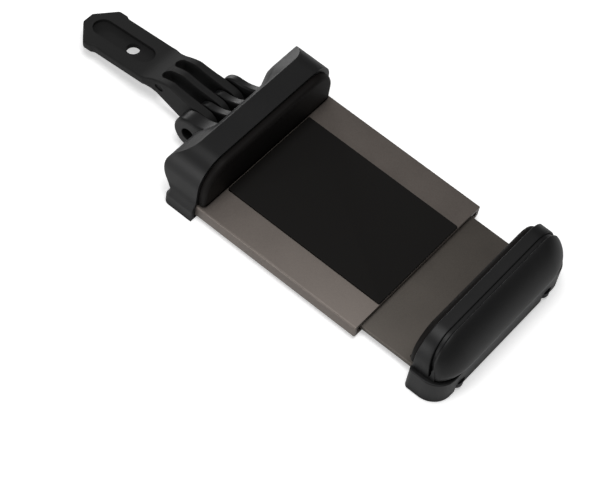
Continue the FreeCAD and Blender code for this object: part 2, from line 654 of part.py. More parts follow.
def make_moving_jaw():
    body = new_body("moving_jaw_body")
    sketch = new_sketch(body, "rim_profile", "XZ")
    outline(sketch, [
        ("moving_rim", "foot_low"), ("rim_back_low", "foot_low"),
        ("rim_back_top", "jaw_top"), ("moving_rim", "jaw_top"),
    ])
    feature(body, "Pad", "rim", sketch, "jaw_half + jaw_half", symmetric=True)
    trim(body, "rim_crown", "YZ", crown("jaw_half", "jaw_top", "jaw_corner", "foot_low"))
    sketch = new_sketch(body, "core_outline", "YZ", "moving_rim + pad_recess")
    outline(sketch, core_outline("foot_low", ""))
    feature(body, "Pad", "core", sketch, "core_reach - pad_recess")
    sketch = new_sketch(body, "base_outline", "XY", "-foot_depth")
    outline(sketch, [
        ("base_front", "-foot_half", "base_near_corner"), ("base_back", "-foot_half", "base_corner"),
        ("base_back", "foot_half", "base_corner"), ("base_front", "foot_half", "base_near_corner"),
    ])
    feature(body, "Pad", "base", sketch, "foot_depth + base_rise")
    bevel_rim(body, "moving_rim", "base_rise")
    jaw_recess(body, "pad_seat", "moving_rim", 1)
    sketch = new_sketch(body, "slider_socket_sketch", "YZ", "base_front")
    high, low = "-slider_drop + fit_gap", "-slider_drop - slider_sheet - fit_gap"
    outline(sketch, [
        ("-slider_half - fit_gap", low), ("slider_half + fit_gap", low),
        ("slider_half + fit_gap", high), ("-slider_half - fit_gap", high),
    ])
    cut(body, "slider_socket", sketch, "slider_seat + fit_gap", reversed_way=True)
    sketch = new_sketch(body, "clamp_holes_sketch", "XY", "-foot_depth")
    for side in ("", "-"):
        circle(sketch, "base_front + clamp_screw_inset", side + "clamp_screw_offset", "jaw_screw + fit_gap")
    cut(body, "clamp_holes", sketch, "foot_depth + clamp_screw_top + fit_gap", reversed_way=True)
    countersink(body, "clamp_countersinks", "jaw_screw", "jaw_head", "-foot_depth")
    sketch = new_sketch(body, "recess_sketch", "XY", "-foot_depth")
    for side in ("", "-"):
        circle(sketch, "cap_screw_at", side + "recess_spread", "recess_radius")
    cut(body, "screw_recesses", sketch, "foot_depth - recess_roof", reversed_way=True)
    sketch = new_sketch(body, "cap_holes_sketch", "XY", "-foot_depth")
    for side in ("", "-"):
        circle(sketch, "cap_screw_at", side + "recess_spread", "jaw_screw + fit_gap")
    cut(body, "cap_holes", sketch, "foot_depth + base_rise + 0.1", reversed_way=True)
    return body


def core_outline(low, gap):
    """Outline of the core inside the groove, with a gap added for the socket on it."""
    half = "jaw_half - core_inset_side" + gap
    top = "jaw_top - core_inset_top" + gap
    corner = "jaw_corner - core_inset_side" + gap
    return [(mirrored(half), low), (half, low), (half, top, corner), (mirrored(half), top, corner)]


def make_moving_cover():
    body = new_body("moving_jaw_cover")
    sketch = new_sketch(body, "cover_profile", "XZ")
    outline(sketch, [
        ("cover_front_low", "base_rise"),
        ("base_back", "base_rise"),
        ("cover_belly_back", "cover_belly", "cover_edge"),
        ("cover_crown_back", "jaw_top", "cover_edge"),
        ("cover_front_top", "jaw_top"),
    ])
    feature(body, "Pad", "cover_block", sketch, "jaw_half + jaw_half - cover_inset - cover_inset", symmetric=True)
    half = "jaw_half - cover_inset"
    trim(body, "cover_crown_trim", "YZ", [
        (mirrored(half), "-" + str(FAR)), (half, "-" + str(FAR)),
        (half, "jaw_top", "jaw_corner - cover_inset"), (mirrored(half), "jaw_top", "jaw_corner - cover_inset"),
    ])
    trim(body, "cover_plan", "XY", [
        ("moving_rim", mirrored(half)), ("cover_belly_back", mirrored(half), "cover_corner"),
        ("cover_belly_back", half, "cover_corner"), ("moving_rim", half),
    ])
    sketch = new_sketch(body, "cover_socket_sketch", "YZ", "moving_rim")
    outline(sketch, core_outline("-1", " + fit_gap"))
    cut(body, "cover_socket", sketch, "core_reach + fit_gap", reversed_way=True)
    sketch = new_sketch(body, "cap_holes_sketch", "XY")
    for side in ("", "-"):
        circle(sketch, "cap_screw_at", side + "recess_spread", "jaw_screw + fit_gap")
    cut(body, "cap_holes", sketch, "cap_screw_top + fit_gap", reversed_way=True)
    return body


def make_arm():
    body = document.addObject("PartDesign::Body", "arm")
    body.Label = "arm"
    hinge = Vector(value("frame_shift - hinge_back"), 0, value("foot_depth + hinge_level"))
    body.Placement = Placement(hinge, Rotation(Vector(0, 1, 0), value("arm_tilt")))
    body.setExpression("Placement.Base.x", "dims.frame_shift - dims.hinge_back")
    body.setExpression("Placement.Base.z", "dims.foot_depth + dims.hinge_level")
    sketch = new_sketch(body, "arm_profile", "XZ")
    outline(sketch, [
        ("0", "-knuckle_radius"),
        ("0", "knuckle_radius"),
        ("-ramp_top", "fork_rise"),
        ("-ramp_foot", "tongue_rise"),
        ("-arm_reach", "tongue_rise"),
        ("-arm_reach", "tongue_rise - tongue_sheet"),
        ("-ramp_foot + 1", "tongue_rise - tongue_sheet"),
        ("-haunch_reach", "-haunch_drop"),
        ("-belly_reach", "-belly_drop"),
    ])
    feature(body, "Pad", "arm_block", sketch, "head_half + head_half", symmetric=True)
    sketch = new_sketch(body, "knuckle_sketch", "XZ")
    circle(sketch, "0", "0", "knuckle_radius")
    feature(body, "Pad", "knuckles", sketch, "fork_half + fork_half", symmetric=True)
    one_side = [
        ("knuckle_radius + 1", "fork_half"),
        ("-knuckle_radius", "fork_half"),
        ("-ramp_top", "fork_waist"),
        ("-ramp_foot", "tongue_half"),
        ("-head_start", "tongue_half"),
        ("-head_start - 0.5", "head_half"),
        ("-head_shoulder", "head_half"),
        ("-arm_reach", "nose_half"),
    ]
    other_side = [(across, "-" + up) for across, up in one_side]
    trim(body, "arm_plan", "XY", one_side + other_side[::-1])
    tip, root, rise = -value("arm_reach"), -value("ramp_foot"), value("tongue_rise")
    soften(
        body, "Chamfer", "tongue_bevel", "tongue_edge",
        (tip - TOUCH, -FAR, rise - TOUCH), (root - TOUCH, FAR, rise + TOUCH),
    )
    sketch = new_sketch(body, "dimple_sketch", "XZ", "fork_half")
    stadium(
        sketch, "-dimple_reach - dimple_stretch", "-dimple_reach + dimple_stretch",
        "dimple_level", "dimple_radius",
    )
    cut(body, "dimple", sketch, "dimple_depth")
    sketch = new_sketch(body, "slots_sketch", "XY")
    for side in ("", "-"):
        stadium(sketch, "-slot_reach", "knuckle_radius + slot_width", side + "slot_offset", "slot_radius")
    cut(body, "slots", sketch, symmetric=True)
    sketch = new_sketch(body, "channel_sketch", "XY", "tongue_rise")
    stadium(sketch, "-channel_end", "-channel_start", "0", "channel_radius")
    cut(body, "sunk_channel", sketch, "channel_depth")
    sketch = new_sketch(body, "tongue_hole_sketch", "XY")
    circle(sketch, "-hole_reach", "0", "hole_radius")
    cut(body, "tongue_hole_cut", sketch, symmetric=True)
    sketch = new_sketch(body, "arm_bore_sketch", "XZ")
    circle(sketch, "0", "0", "bore_radius")
    cut(body, "arm_bore", sketch, symmetric=True)
    return body


def make_hinge_pin():
    pin = document.addObject("Part::Cylinder", "hinge_pin")
    pin.Label = "hinge_pin"
    pin.setExpression("Radius", "dims.pin_radius")
    length = "near_ear_width - pin_sunk + ear_clear + ear_clear + far_ear_width - fit_gap"
    pin.setExpression("Height", bound(length))
    start = Vector(
        value("frame_shift - hinge_back"),
        -value("ear_clear + near_ear_width - pin_sunk"),
        value("foot_depth + hinge_level"),
    )
    pin.Placement = Placement(start, Rotation(Vector(1, 0, 0), -90))
    return pin


def standing_pins(label, places, radius, low, high):
    """Plain upright pins, one at each place."""
    pins = []
    for number, (along, across) in enumerate(places):
        pin = document.addObject("Part::Cylinder", "%s_%d" % (label, number))
        pin.setExpression("Radius", bound(radius))
        pin.setExpression("Height", bound("%s %s" % (high, flipped_terms(low))))
        pin.setExpression("Placement.Base.x", bound("frame_shift + " + along))
        pin.setExpression("Placement.Base.y", bound(across))
        pin.setExpression("Placement.Base.z", bound("foot_depth + " + low))
        pins.append(pin)
    return group(label, pins)


def flipped_terms(size):
    """The terms of a sum ready to be taken away from another."""
    turned = mirrored(size)
    return turned if turned.startswith("-") else "+ " + turned


def group(label, pieces):
    """Separate solids that share one node."""
    made = document.addObject("Part::Compound", label)
    made.Label = label
    made.Links = pieces
    return made


def countersunk_screws(label, places, radius, head, low, high):
    """Screws with flush heads at their lower ends and hexagon sockets."""
    sink = "%s - %s" % (head, radius)
    screws = []
    for number, (along, across) in enumerate(places):
        base = Vector(value("frame_shift + " + along), value(across), value("foot_depth + " + low))
        place = Placement(base, Rotation())
        name = "%s_%d" % (label, number)
        cone = document.addObject("Part::Cone", name + "_head")
        cone.setExpression("Radius1", bound(head))
        cone.setExpression("Radius2", bound(radius))
        cone.setExpression("Height", bound(sink))
        shank = document.addObject("Part::Cylinder", name + "_shank")
        shank.setExpression("Radius", bound(radius))
        shank.setExpression("Height", bound("%s %s" % (high, flipped_terms(low))))
        socket = document.addObject("Part::Prism", name + "_socket")
        socket.Polygon = 6
        socket.setExpression("Circumradius", "dims.drive_radius")
        socket.setExpression("Height", bound(sink))
        for piece in (cone, shank, socket):
            piece.Placement = place
        whole = document.addObject("Part::MultiFuse", name + "_whole")
        whole.Shapes = [cone, shank]
        screw = document.addObject("Part::Cut", name)
        screw.Base = whole
        screw.Tool = socket
        screws.append(screw)
    return group(label, screws)


def cap_screws(label, places, radius, head, low, height, high):
    """Screws with upright round heads at their lower ends and hexagon sockets."""
    screws = []
    for number, (along, across) in enumerate(places):
        base = Vector(value("frame_shift + " + along), value(across), value("foot_depth + " + low))
        name = "%s_%d" % (label, number)
        cap = document.addObject("Part::Cylinder", name + "_head")
        cap.setExpression("Radius", bound(head))
        cap.setExpression("Height", bound(height))
        shank = document.addObject("Part::Cylinder", name + "_shank")
        shank.setExpression("Radius", bound(radius))
        shank.setExpression("Height", bound("%s %s" % (high, flipped_terms(low))))
        socket = document.addObject("Part::Prism", name + "_socket")
        socket.Polygon = 6
        socket.setExpression("Circumradius", "dims.drive_radius")
        socket.setExpression("Height", bound(height) + " / 2")
        for piece in (cap, shank, socket):
            piece.Placement = Placement(base, Rotation())
        whole = document.addObject("Part::MultiFuse", name + "_whole")
        whole.Shapes = [cap, shank]
        screw = document.addObject("Part::Cut", name)
        screw.Base = whole
        screw.Tool = socket
        screws.append(screw)
    return group(label, screws)


def both_sides(along, across):
    """The same place on both sides of the middle."""
    return [(along, across), (along, "-" + across)]


def make_back_cover():
    body = new_body("back_cover")
    sketch = new_sketch(body, "back_outline", "XY", "-plate_depth")
    half = "plate_half - lip_width + cover_lap"
    outline(sketch, [
        ("-cover_margin", mirrored(half)), ("-cover_margin", half),
        ("-fixed_rim + cover_sheet", half), ("-fixed_rim + cover_sheet", mirrored(half)),
    ])
    feature(body, "Pad", "back_sheet", sketch, "cover_sheet", reversed_way=True)
    sketch = new_sketch(body, "back_holes_sketch", "XY", "-plate_depth + 0.1")
    for side in ("", "-"):
        for along in ("-small_screw_near", "-small_screw_far"):
            circle(sketch, along, side + "small_screw_offset", "small_screw + fit_gap")
    cut(body, "back_holes", sketch, "cover_sheet + 0.3")
    return body


def make_spring(label, side):
    """Extension spring along X: one square wire wound in straight lengths, with a loop at each end."""
    wire, mean = value("spring_wire"), value("spring_coil - spring_wire") / 2
    loop, flats = value("spring_loop"), int(value("spring_flats"))
    start, end = -value("spring_anchor"), -value("spring_hook")
    across, level = side * value("spring_offset"), -value("spring_level")
    coil_start, coil_end = start + loop + 2 * mean, end - loop - 2 * mean
    steps = int(value("spring_turns")) * flats
    sections = []
    for step in range(steps + 1):
        # The winding starts and ends at the bottom of the coil, where the loops' tails meet it.
        turn = FULL_TURN * step / flats - FULL_TURN / 4
        along = coil_start + (coil_end - coil_start) * step / steps
        out = Vector(0, math.cos(math.radians(turn)), math.sin(math.radians(turn)))
        middle = Vector(along, across, level)
        corners = [
            middle + Vector(shift, 0, 0) + out * radius
            for shift, radius in (
                (-wire / 2, mean - wire / 2), (wire / 2, mean - wire / 2),
                (wire / 2, mean + wire / 2), (-wire / 2, mean + wire / 2),
            )
        ]
        sections.append(corners)
    pieces = []
    bottom = level - mean - wire / 2
    for middle, near in ((start, coil_start + wire / 2), (end, coil_end - wire / 2)):
        low = Vector(middle, across, bottom)
        outside = loop_prism(low, loop + wire / 2, flats, wire)
        inside = loop_prism(low, (loop - wire / 2) / math.cos(math.pi / flats), flats, wire)
        pieces.append(outside.cut(inside))
        first, last = sorted((middle + math.copysign(loop, near - middle), near))
        pieces.append(Part.makeBox(last - first, wire, wire, Vector(first, across - wire / 2, bottom)))
    spring = document.addObject("Part::Feature", label)
    spring.Label = label
    spring.Shape = flat_sided(sections).fuse(pieces)
    spring.Placement = Placement(Vector(value("frame_shift"), 0, value("foot_depth")), Rotation())
    return spring


def flat_sided(sections):
    """Solid through closed sections of the same number of points, with flat triangles between them."""
    count = len(sections[0])
    faces = [sections[0], sections[-1]]
    for here, there in zip(sections, sections[1:]):
        for side in range(count):
            after = (side + 1) % count
            faces.append([here[side], here[after], there[after]])
            faces.append([here[side], there[after], there[side]])
    shell = Part.Shell([Part.Face(Part.makePolygon(face + face[:1])) for face in faces])
    solid = Part.Solid(shell)
    if solid.Volume < 0:
        solid.reverse()
    return solid


def loop_prism(base, radius, sides, height):
    """Upright prism with the given number of sides, as wide as a circle through its edges."""
    turns = [FULL_TURN * (side + 0.5) / sides for side in range(sides)]
    rim = [
        base + Vector(math.cos(math.radians(turn)), math.sin(math.radians(turn)), 0) * radius
        for turn in turns
    ]
    return Part.Face(Part.makePolygon(rim + rim[:1])).extrude(Vector(0, 0, height))


parts = [
    make_outer_plate(),
    make_face_pad(),
    make_guide_strip("guide_strip_left", 1),
    make_guide_strip("guide_strip_right", -1),
    make_slider_plate(),
    make_back_cover(),
    make_fixed_jaw(),
    make_pad("fixed_jaw_pad", "-fixed_face", "-fixed_rim - pad_recess", "fit_gap", "fixed_proud"),
    make_moving_jaw(),
    make_moving_cover(),
    make_pad("moving_jaw_pad", "moving_face", "moving_rim + pad_recess", "base_rise", "moving_proud"),
    make_arm(),
    make_hinge_pin(),
    make_spring("spring_left", 1),
    make_spring("spring_right", -1),
    standing_pins(
        "spring_anchor_pins", both_sides("-spring_anchor", "spring_offset"),
        "hook_radius", "-hook_low", "0",
    ),
    standing_pins("stop_pin", [("-stop_reach", "0")], "stop_radius", "-plate_depth + fit_gap", "0"),
    standing_pins(
        "slider_hook_pins", both_sides("-spring_hook", "spring_offset"),
        "hook_radius", "-hook_low", "-slider_drop",
    ),
    standing_pins(
        "back_cover_screws",
        both_sides("-small_screw_near", "small_screw_offset") + both_sides("-small_screw_far", "small_screw_offset"),
        "small_screw", "-plate_depth - cover_sheet", "-plate_depth + lip_sheet",
    ),
    countersunk_screws(
        "fixed_jaw_screws", both_sides("-fixed_screw_back", "fixed_screw_offset"),
        "jaw_screw", "jaw_head", "-foot_depth", "-fixed_screw_top",
    ),
    countersunk_screws(
        "moving_jaw_clamp_screws", both_sides("base_front + clamp_screw_inset", "clamp_screw_offset"),
        "jaw_screw", "jaw_head", "-foot_depth", "clamp_screw_top",
    ),
    cap_screws(
        "moving_jaw_screws", both_sides("cap_screw_at", "recess_spread"),
        "jaw_screw", "cap_head", "-recess_roof - cap_head_height", "cap_head_height", "cap_screw_top",
    ),
]

document.recompute()
for item in document.Objects:
    if "Invalid" in item.State or "Error" in item.State:
        raise RuntimeError("%s did not build: %s" % (item.Name, item.State))
os.makedirs("parts", exist_ok=True)
for part in parts:
    shape = part.Shape
    if shape.isNull() or not shape.isValid():
        raise RuntimeError("%s has no valid shape" % part.Label)
    shape.exportStep("parts/%s.step" % part.Label)
    box = shape.BoundBox
    print("%s: %d solids, %.1f mm3, x %.2f..%.2f y %.2f..%.2f z %.2f..%.2f" % (
        part.Label, len(shape.Solids), shape.Volume,
        box.XMin, box.XMax, box.YMin, box.YMax, box.ZMin, box.ZMax,
    ))
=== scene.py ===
# %% [markdown]
# # A sprung phone clamp on a hinged arm
# The clamp is two nested metal plates with a plastic jaw at each end and a three-fingered arm hinged
# behind the fixed jaw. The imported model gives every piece's place, and this notebook gives the pieces
# their rounded forms and finishes. Each form is a formula on a grid, worked out with numpy, because the
# jaws swell, lean and turn in ways that a box with bevels would only hint at.

import math

import bmesh
import bpy
import numpy as np
from mathutils import Matrix, Vector


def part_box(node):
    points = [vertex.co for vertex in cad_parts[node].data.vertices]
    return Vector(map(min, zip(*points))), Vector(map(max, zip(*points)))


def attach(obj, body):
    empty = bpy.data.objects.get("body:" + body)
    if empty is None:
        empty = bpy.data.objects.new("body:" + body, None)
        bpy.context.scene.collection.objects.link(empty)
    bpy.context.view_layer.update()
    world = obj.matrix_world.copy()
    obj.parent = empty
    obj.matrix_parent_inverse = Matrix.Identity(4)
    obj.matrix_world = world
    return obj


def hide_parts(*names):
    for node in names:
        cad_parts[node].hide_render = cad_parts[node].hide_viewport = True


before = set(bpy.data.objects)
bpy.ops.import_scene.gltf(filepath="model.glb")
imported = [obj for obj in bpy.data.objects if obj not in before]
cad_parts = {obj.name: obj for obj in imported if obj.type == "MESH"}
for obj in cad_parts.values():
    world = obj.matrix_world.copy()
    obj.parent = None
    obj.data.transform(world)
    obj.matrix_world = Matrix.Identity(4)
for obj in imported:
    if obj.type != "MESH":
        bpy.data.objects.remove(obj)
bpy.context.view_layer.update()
MM = 0.001

# %% [markdown]
# ## Where things are
# Everything is measured from the outer plate: its end edge, its top face and the middle of its width.
# The frame's boxes give these in metres. Writing each shape in plate millimetres keeps the numbers like
# those on a drawing, and one helper turns them into the frame's metres at the end.

# %% Plate directions
plate_low, plate_high = (np.array(corner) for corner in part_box("outer_plate"))
END_EDGE = plate_high[0] / MM
FACE_LEVEL = plate_high[2] / MM


def plate(points):
    """Plate millimetres to metres in the frame: shift along X to the end edge and up to the face."""
    return (np.asarray(points, float) + (END_EDGE, 0, FACE_LEVEL)) * MM


print("end edge at %.2f mm, face at %.2f mm" % (END_EDGE, FACE_LEVEL))
print("plate %.2f mm long" % ((plate_high - plate_low)[0] / MM))

# %% [markdown]
# ## Camera
# A long lens from well above keeps the plate's edges nearly parallel, as product pictures do. The camera
# could be turned by angles; giving it an eye and an aim point is easier to read, with a small roll about
# its own axis at the end. The lens follows from its length in pixels and the sensor's width.

# %% Camera
EYE = (138.6, -307.1, 482.2)
AIM = (-27.96, -15.81, 0.0)
ROLL_DEG = 12.13
FOCAL_PIXELS = 2234.0
FRAME_PIXELS = 600.0


def facing_turn(place, aim):
    """Rotation whose -Z axis points from a place to an aim point and whose Y axis is upright."""
    return (aim - place).to_track_quat("-Z", "Y").to_matrix().to_4x4()


def make_camera():
    """Camera at EYE looking at AIM: focal length = sensor width * focal pixels / frame pixels."""
    data = bpy.data.cameras.new("camera")
    data.sensor_width = 36.0
    data.lens = data.sensor_width * FOCAL_PIXELS / FRAME_PIXELS
    camera = bpy.data.objects.new("camera", data)
    eye, aim = Vector(plate(EYE)), Vector(plate(AIM))
    roll = Matrix.Rotation(math.radians(ROLL_DEG), 4, "Z")
    camera.matrix_world = Matrix.Translation(eye) @ facing_turn(eye, aim) @ roll
    bpy.context.scene.collection.objects.link(camera)
    bpy.context.scene.camera = camera
    return camera


camera = make_camera()
print("lens %.1f mm" % camera.data.lens)

# %% [markdown]
# ## Nodes
# A finish is a small tree of shader nodes. Nodes can be placed by hand in the editor; in a script it is
# shorter to have one helper that adds a node, sets its inputs and links it. Colours are written as hex,
# as a paint chart gives them, and turned linear once.


# %% Helpers for finishes
def linear(code):
    """sRGB hex to linear RGBA: each channel goes through the sRGB curve's inverse."""
    parts = [int(code[i:i + 2], 16) / 255 for i in (1, 3, 5)]
    return tuple(c / 12.92 if c <= 0.04045 else ((c + 0.055) / 1.055) ** 2.4 for c in parts) + (1.0,)


def add(tree, kind, settings=None, inputs=None, links=None):
    """One node: settings are its properties, inputs its values, links its sources by socket name."""
    node = tree.nodes.new(kind)
    for name, setting in (settings or {}).items():
        setattr(node, name, setting)
    for name, number in (inputs or {}).items():
        node.inputs[name].default_value = number
    for name, source in (links or {}).items():
        tree.links.new(source, node.inputs[name])
    return node


def new_finish(name):
    """An empty material with a Principled shader, and its tree and shader."""
    material = bpy.data.materials.new(name)
    material.use_nodes = True
    tree = material.node_tree
    return material, tree, tree.nodes["Principled BSDF"]


print("sRGB mid grey is linear %.3f" % linear("#808080")[0])

# %% [markdown]
# ## Grain
# Blasted metal, moulded plastic and foam all have a fine grain that breaks up their shine. A photograph
# of each could be wrapped on, but noise needs no seams and can't stretch. Fine noise and a broad, faint
# cloudiness are mixed, and the mix moves colour and roughness together. Black plastic loses its sheen in
# narrow gaps, where only other black plastic is mirrored; on the finishes that are not metal an occlusion
# mask also turns the sheen down in gaps as painted shade, so the sheen follows how open the spot is.

# %% Grained finish
CLOUD_MM = 14
CLOUD_SHARE, FINE_SHARE = 0.35, 0.65
DARK_AT, LIGHT_AT = 0.3, 0.7
# painted shade in gaps: how far the occlusion mask looks, and where it turns the sheen fully off and fully on
GAP_SHADE_REACH_MM = 5
GAP_SHADE_FULL_AT, GAP_SHADE_NONE_AT = 0.25, 0.9


def grain_mix(tree, grain_mm):
    """Mix of two noises, 0.65 fine + 0.35 cloudy; gives the mix and the fine noise alone."""
    place = add(tree, "ShaderNodeTexCoord").outputs["Object"]
    fine = add(tree, "ShaderNodeTexNoise",
               inputs={"Scale": 1 / (grain_mm * MM), "Detail": 3.0, "Roughness": 0.6},
               links={"Vector": place})
    cloud = add(tree, "ShaderNodeTexNoise",
                inputs={"Scale": 1 / (CLOUD_MM * MM), "Detail": 2.0}, links={"Vector": place})
    mixed = add(tree, "ShaderNodeMath", {"operation": "MULTIPLY_ADD"}, {1: CLOUD_SHARE, 2: 0.0},
                {0: cloud.outputs["Fac"]})
    mixed = add(tree, "ShaderNodeMath", {"operation": "MULTIPLY_ADD"}, {1: FINE_SHARE},
                {0: fine.outputs["Fac"], 2: mixed.outputs[0]})
    return mixed.outputs[0], fine.outputs["Fac"]


def grained(name, dark, light, rough, grain_mm, bump_mm, metallic=0.0, specular=0.5):
    """A finish with fine grain: as the mix of noises goes from 0.3 to 0.7, the colour goes from dark to
    light and the roughness from its first value to its last; the fine noise alone gives the height."""
    material, tree, shader = new_finish(name)
    mixed, fine = grain_mix(tree, grain_mm)
    colour = add(tree, "ShaderNodeValToRGB", links={"Fac": mixed})
    stops = ((DARK_AT, linear(dark)), (LIGHT_AT, linear(light)))
    for element, (place, tone) in zip(colour.color_ramp.elements, stops):
        element.position = place
        element.color = tone
    tree.links.new(colour.outputs["Color"], shader.inputs["Base Color"])
    spread = add(tree, "ShaderNodeMapRange",
                 inputs={"From Min": DARK_AT, "From Max": LIGHT_AT, "To Min": rough[0], "To Max": rough[1]},
                 links={"Value": mixed})
    tree.links.new(spread.outputs["Result"], shader.inputs["Roughness"])
    if bump_mm:
        bump = add(tree, "ShaderNodeBump", inputs={"Strength": 1.0, "Distance": bump_mm * MM},
                   links={"Height": fine})
        tree.links.new(bump.outputs["Normal"], shader.inputs["Normal"])
    shader.inputs["Metallic"].default_value = metallic
    if not metallic:
        # painted shade: an occlusion mask turns the sheen down in gaps and hollows
        reach = add(tree, "ShaderNodeAmbientOcclusion", {"samples": 8}, {"Distance": GAP_SHADE_REACH_MM * MM})
        sheen = add(tree, "ShaderNodeMapRange",
                    inputs={"From Min": GAP_SHADE_FULL_AT, "From Max": GAP_SHADE_NONE_AT, "To Min": 0.0, "To Max": specular},
                    links={"Value": reach.outputs["AO"]})
        tree.links.new(sheen.outputs["Result"], shader.inputs["Specular IOR Level"])
    return material


print("grain is %d %% fine and %d %% cloudy" % (round(FINE_SHARE * 100), round(CLOUD_SHARE * 100)))

# %% [markdown]
# ## Finishes
# The plates are blasted and anodised, the jaws moulded in black plastic, their faces soft rubber and the
# arm a glass-filled nylon that shines less. One helper serves them all: what tells them apart is how dark
# they are, how rough, and how much sheen is left. The pieces inside the slide have plain finishes too, for
# the underside and for the poses where they come into view.

# %% Finishes
# the grain is given in millimetres: blast pits and mould texture are nearer 0.1 mm, too fine to show from
# this far, so they are drawn two to five times as coarse
# outer plate: aluminium, bead-blasted and anodised; a warm gun-metal with a soft, even sheen
anodised = grained("anodised_aluminium", "#67605b", "#766e68", (0.42, 0.52), 0.25, 0.004, metallic=0.6)
# slider: the same metal, coloured a shade darker as painted shade, because it lies lower, between the jaws
anodised_painted_shade = grained("anodised_slider_painted_shade", "#534e49", "#5f5953", (0.42, 0.52), 0.25, 0.004, metallic=0.6)
# face pad: closed-cell foam sheet; quite matt, with pores that swallow the light
foam = grained("foam_rubber", "#0d0c0a", "#131110", (0.85, 0.95), 0.35, 0.03, specular=0.25)
# jaws: ABS moulded in a finely textured tool; deep black with a satin light along the edges
moulded = grained("moulded_abs", "#141415", "#191919", (0.4, 0.5), 0.3, 0.004, specular=0.27)
# jaw faces: moulded soft rubber; darker and duller than the jaws, so that they stand apart from them
soft_rubber = grained("soft_rubber", "#0b0908", "#100d0c", (0.55, 0.7), 0.3, 0.004, specular=0.14)
# arm: nylon filled with glass fibre, moulded; a dry, dark grey skin with little shine
nylon = grained("filled_nylon", "#1a1a1a", "#202020", (0.55, 0.65), 0.3, 0.004, specular=0.15)
# pins: turned steel; bright, with a narrow sheen
steel = grained("turned_steel", "#8d8d8f", "#a2a2a4", (0.25, 0.4), 0.2, 0.002, metallic=1.0)
# screws: blackened steel; nearly black, with a metal's light on the edges
blackened = grained("blackened_steel", "#1b1b1d", "#26262a", (0.35, 0.5), 0.2, 0.002, metallic=0.8)
# springs: drawn wire; plain grey metal with a line of light along each turn
spring_wire = grained("drawn_wire", "#7d7d80", "#9a9a9c", (0.3, 0.4), 0.2, 0.0, metallic=1.0)
# guide strips: acetal, cut from sheet; pale and a little glossy
slippery = grained("acetal", "#c9c8c2", "#d6d5cf", (0.3, 0.4), 0.5, 0.0)
# back cover: thin sheet metal, painted; flat black with a low sheen
black_sheet = grained("black_sheet", "#1c1c1b", "#242423", (0.5, 0.6), 0.3, 0.003)

NODE_FINISHES = {
    "outer_plate": anodised, "slider_plate": anodised_painted_shade, "face_pad": foam,
    "guide_strip_left": slippery, "guide_strip_right": slippery,
    "back_cover": black_sheet, "back_cover_screws": blackened,
    "fixed_jaw_shell": moulded, "fixed_jaw_pad": soft_rubber, "fixed_jaw_screws": blackened,
    "moving_jaw_body": moulded, "moving_jaw_cover": moulded, "moving_jaw_pad": soft_rubber,
    "moving_jaw_screws": blackened, "moving_jaw_clamp_screws": blackened,
    "arm": nylon, "hinge_pin": steel, "stop_pin": steel,
    "spring_left": spring_wire, "spring_right": spring_wire,
    "spring_anchor_pins": steel, "slider_hook_pins": steel,
}
for node, finish in NODE_FINISHES.items():
    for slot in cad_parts[node].material_slots:
        slot.material = finish
print("%d nodes have %d finishes" % (len(NODE_FINISHES), len(set(NODE_FINISHES.values()))))

# %% [markdown]
# ## Outlines
# Sheets, ears and pads start from a flat outline with rounded corners. A curve object could give the same,
# but an array of points can be drawn in, spaced and set down at any level, which the edges below need.


# %% Outlines
def rounded(corners, steps=6):
    """Closed outline; at a corner (x, y, r) the arc's middle lies r / sin(half angle) inside it."""
    points = []
    count = len(corners)
    for index, (x, y, radius) in enumerate(corners):
        corner = np.array((x, y), float)
        before = np.array(corners[index - 1][:2], float) - corner
        after = np.array(corners[(index + 1) % count][:2], float) - corner
        before /= np.linalg.norm(before)
        after /= np.linalg.norm(after)
        if radius <= 0:
            points.append(corner[None])
            continue
        half = math.acos(np.clip(before @ after, -1, 1)) / 2
        inward = (before + after) / np.linalg.norm(before + after)
        middle = corner + inward * radius / math.sin(half)
        start = corner + before * radius / math.tan(half) - middle
        side = corner + after * radius / math.tan(half) - middle
        sweep = math.atan2(start[0] * side[1] - start[1] * side[0], start @ side)
        turns = np.linspace(0, sweep, steps + 1)[:, None]
        points.append(middle + np.cos(turns) * start + np.sin(turns) * np.array((-start[1], start[0])))
    return np.concatenate(points)


def ellipse(x, y, wide, high, steps=40):
    """Closed ring about (x, y): wide cos a, high sin a."""
    turns = np.linspace(0, 2 * math.pi, steps, endpoint=False)
    return np.stack([x + wide * np.cos(turns), y + high * np.sin(turns)], axis=1)


def stadium(first, second, across, radius, steps=12):
    """Slot with round ends: half a circle about each end, joined by straight sides."""
    turns = np.linspace(-math.pi / 2, math.pi / 2, steps + 1)
    ahead = np.stack([second + radius * np.cos(turns), across + radius * np.sin(turns)], axis=1)
    behind = np.stack([first - radius * np.cos(turns), across - radius * np.sin(turns)], axis=1)
    return np.concatenate([ahead, behind])


sample = rounded([(0, 0, 2), (10, 0, 2), (10, 6, 2), (0, 6, 2)])
print("a 10 x 6 plate with 2 mm corners has %d points" % len(sample))

# %% [markdown]
# Two things are done to an outline before it becomes a piece. Long sides get extra points where a soft edge
# has to stay even, and the whole outline is drawn in, by the same depth all round, for a rounded edge. The
# offset follows each corner's mitre, because scaling the outline would narrow its long sides too much.


# %% Work on outlines
def spaced(outline, gap):
    """The outline with points added on its long sides, so that no side is longer than the gap."""
    points = []
    for start, end in zip(outline, np.roll(outline, -1, axis=0)):
        pieces = max(1, int(math.ceil(np.linalg.norm(end - start) / gap)))
        points.append(start + (end - start) * np.arange(pieces)[:, None] / pieces)
    return np.concatenate(points)


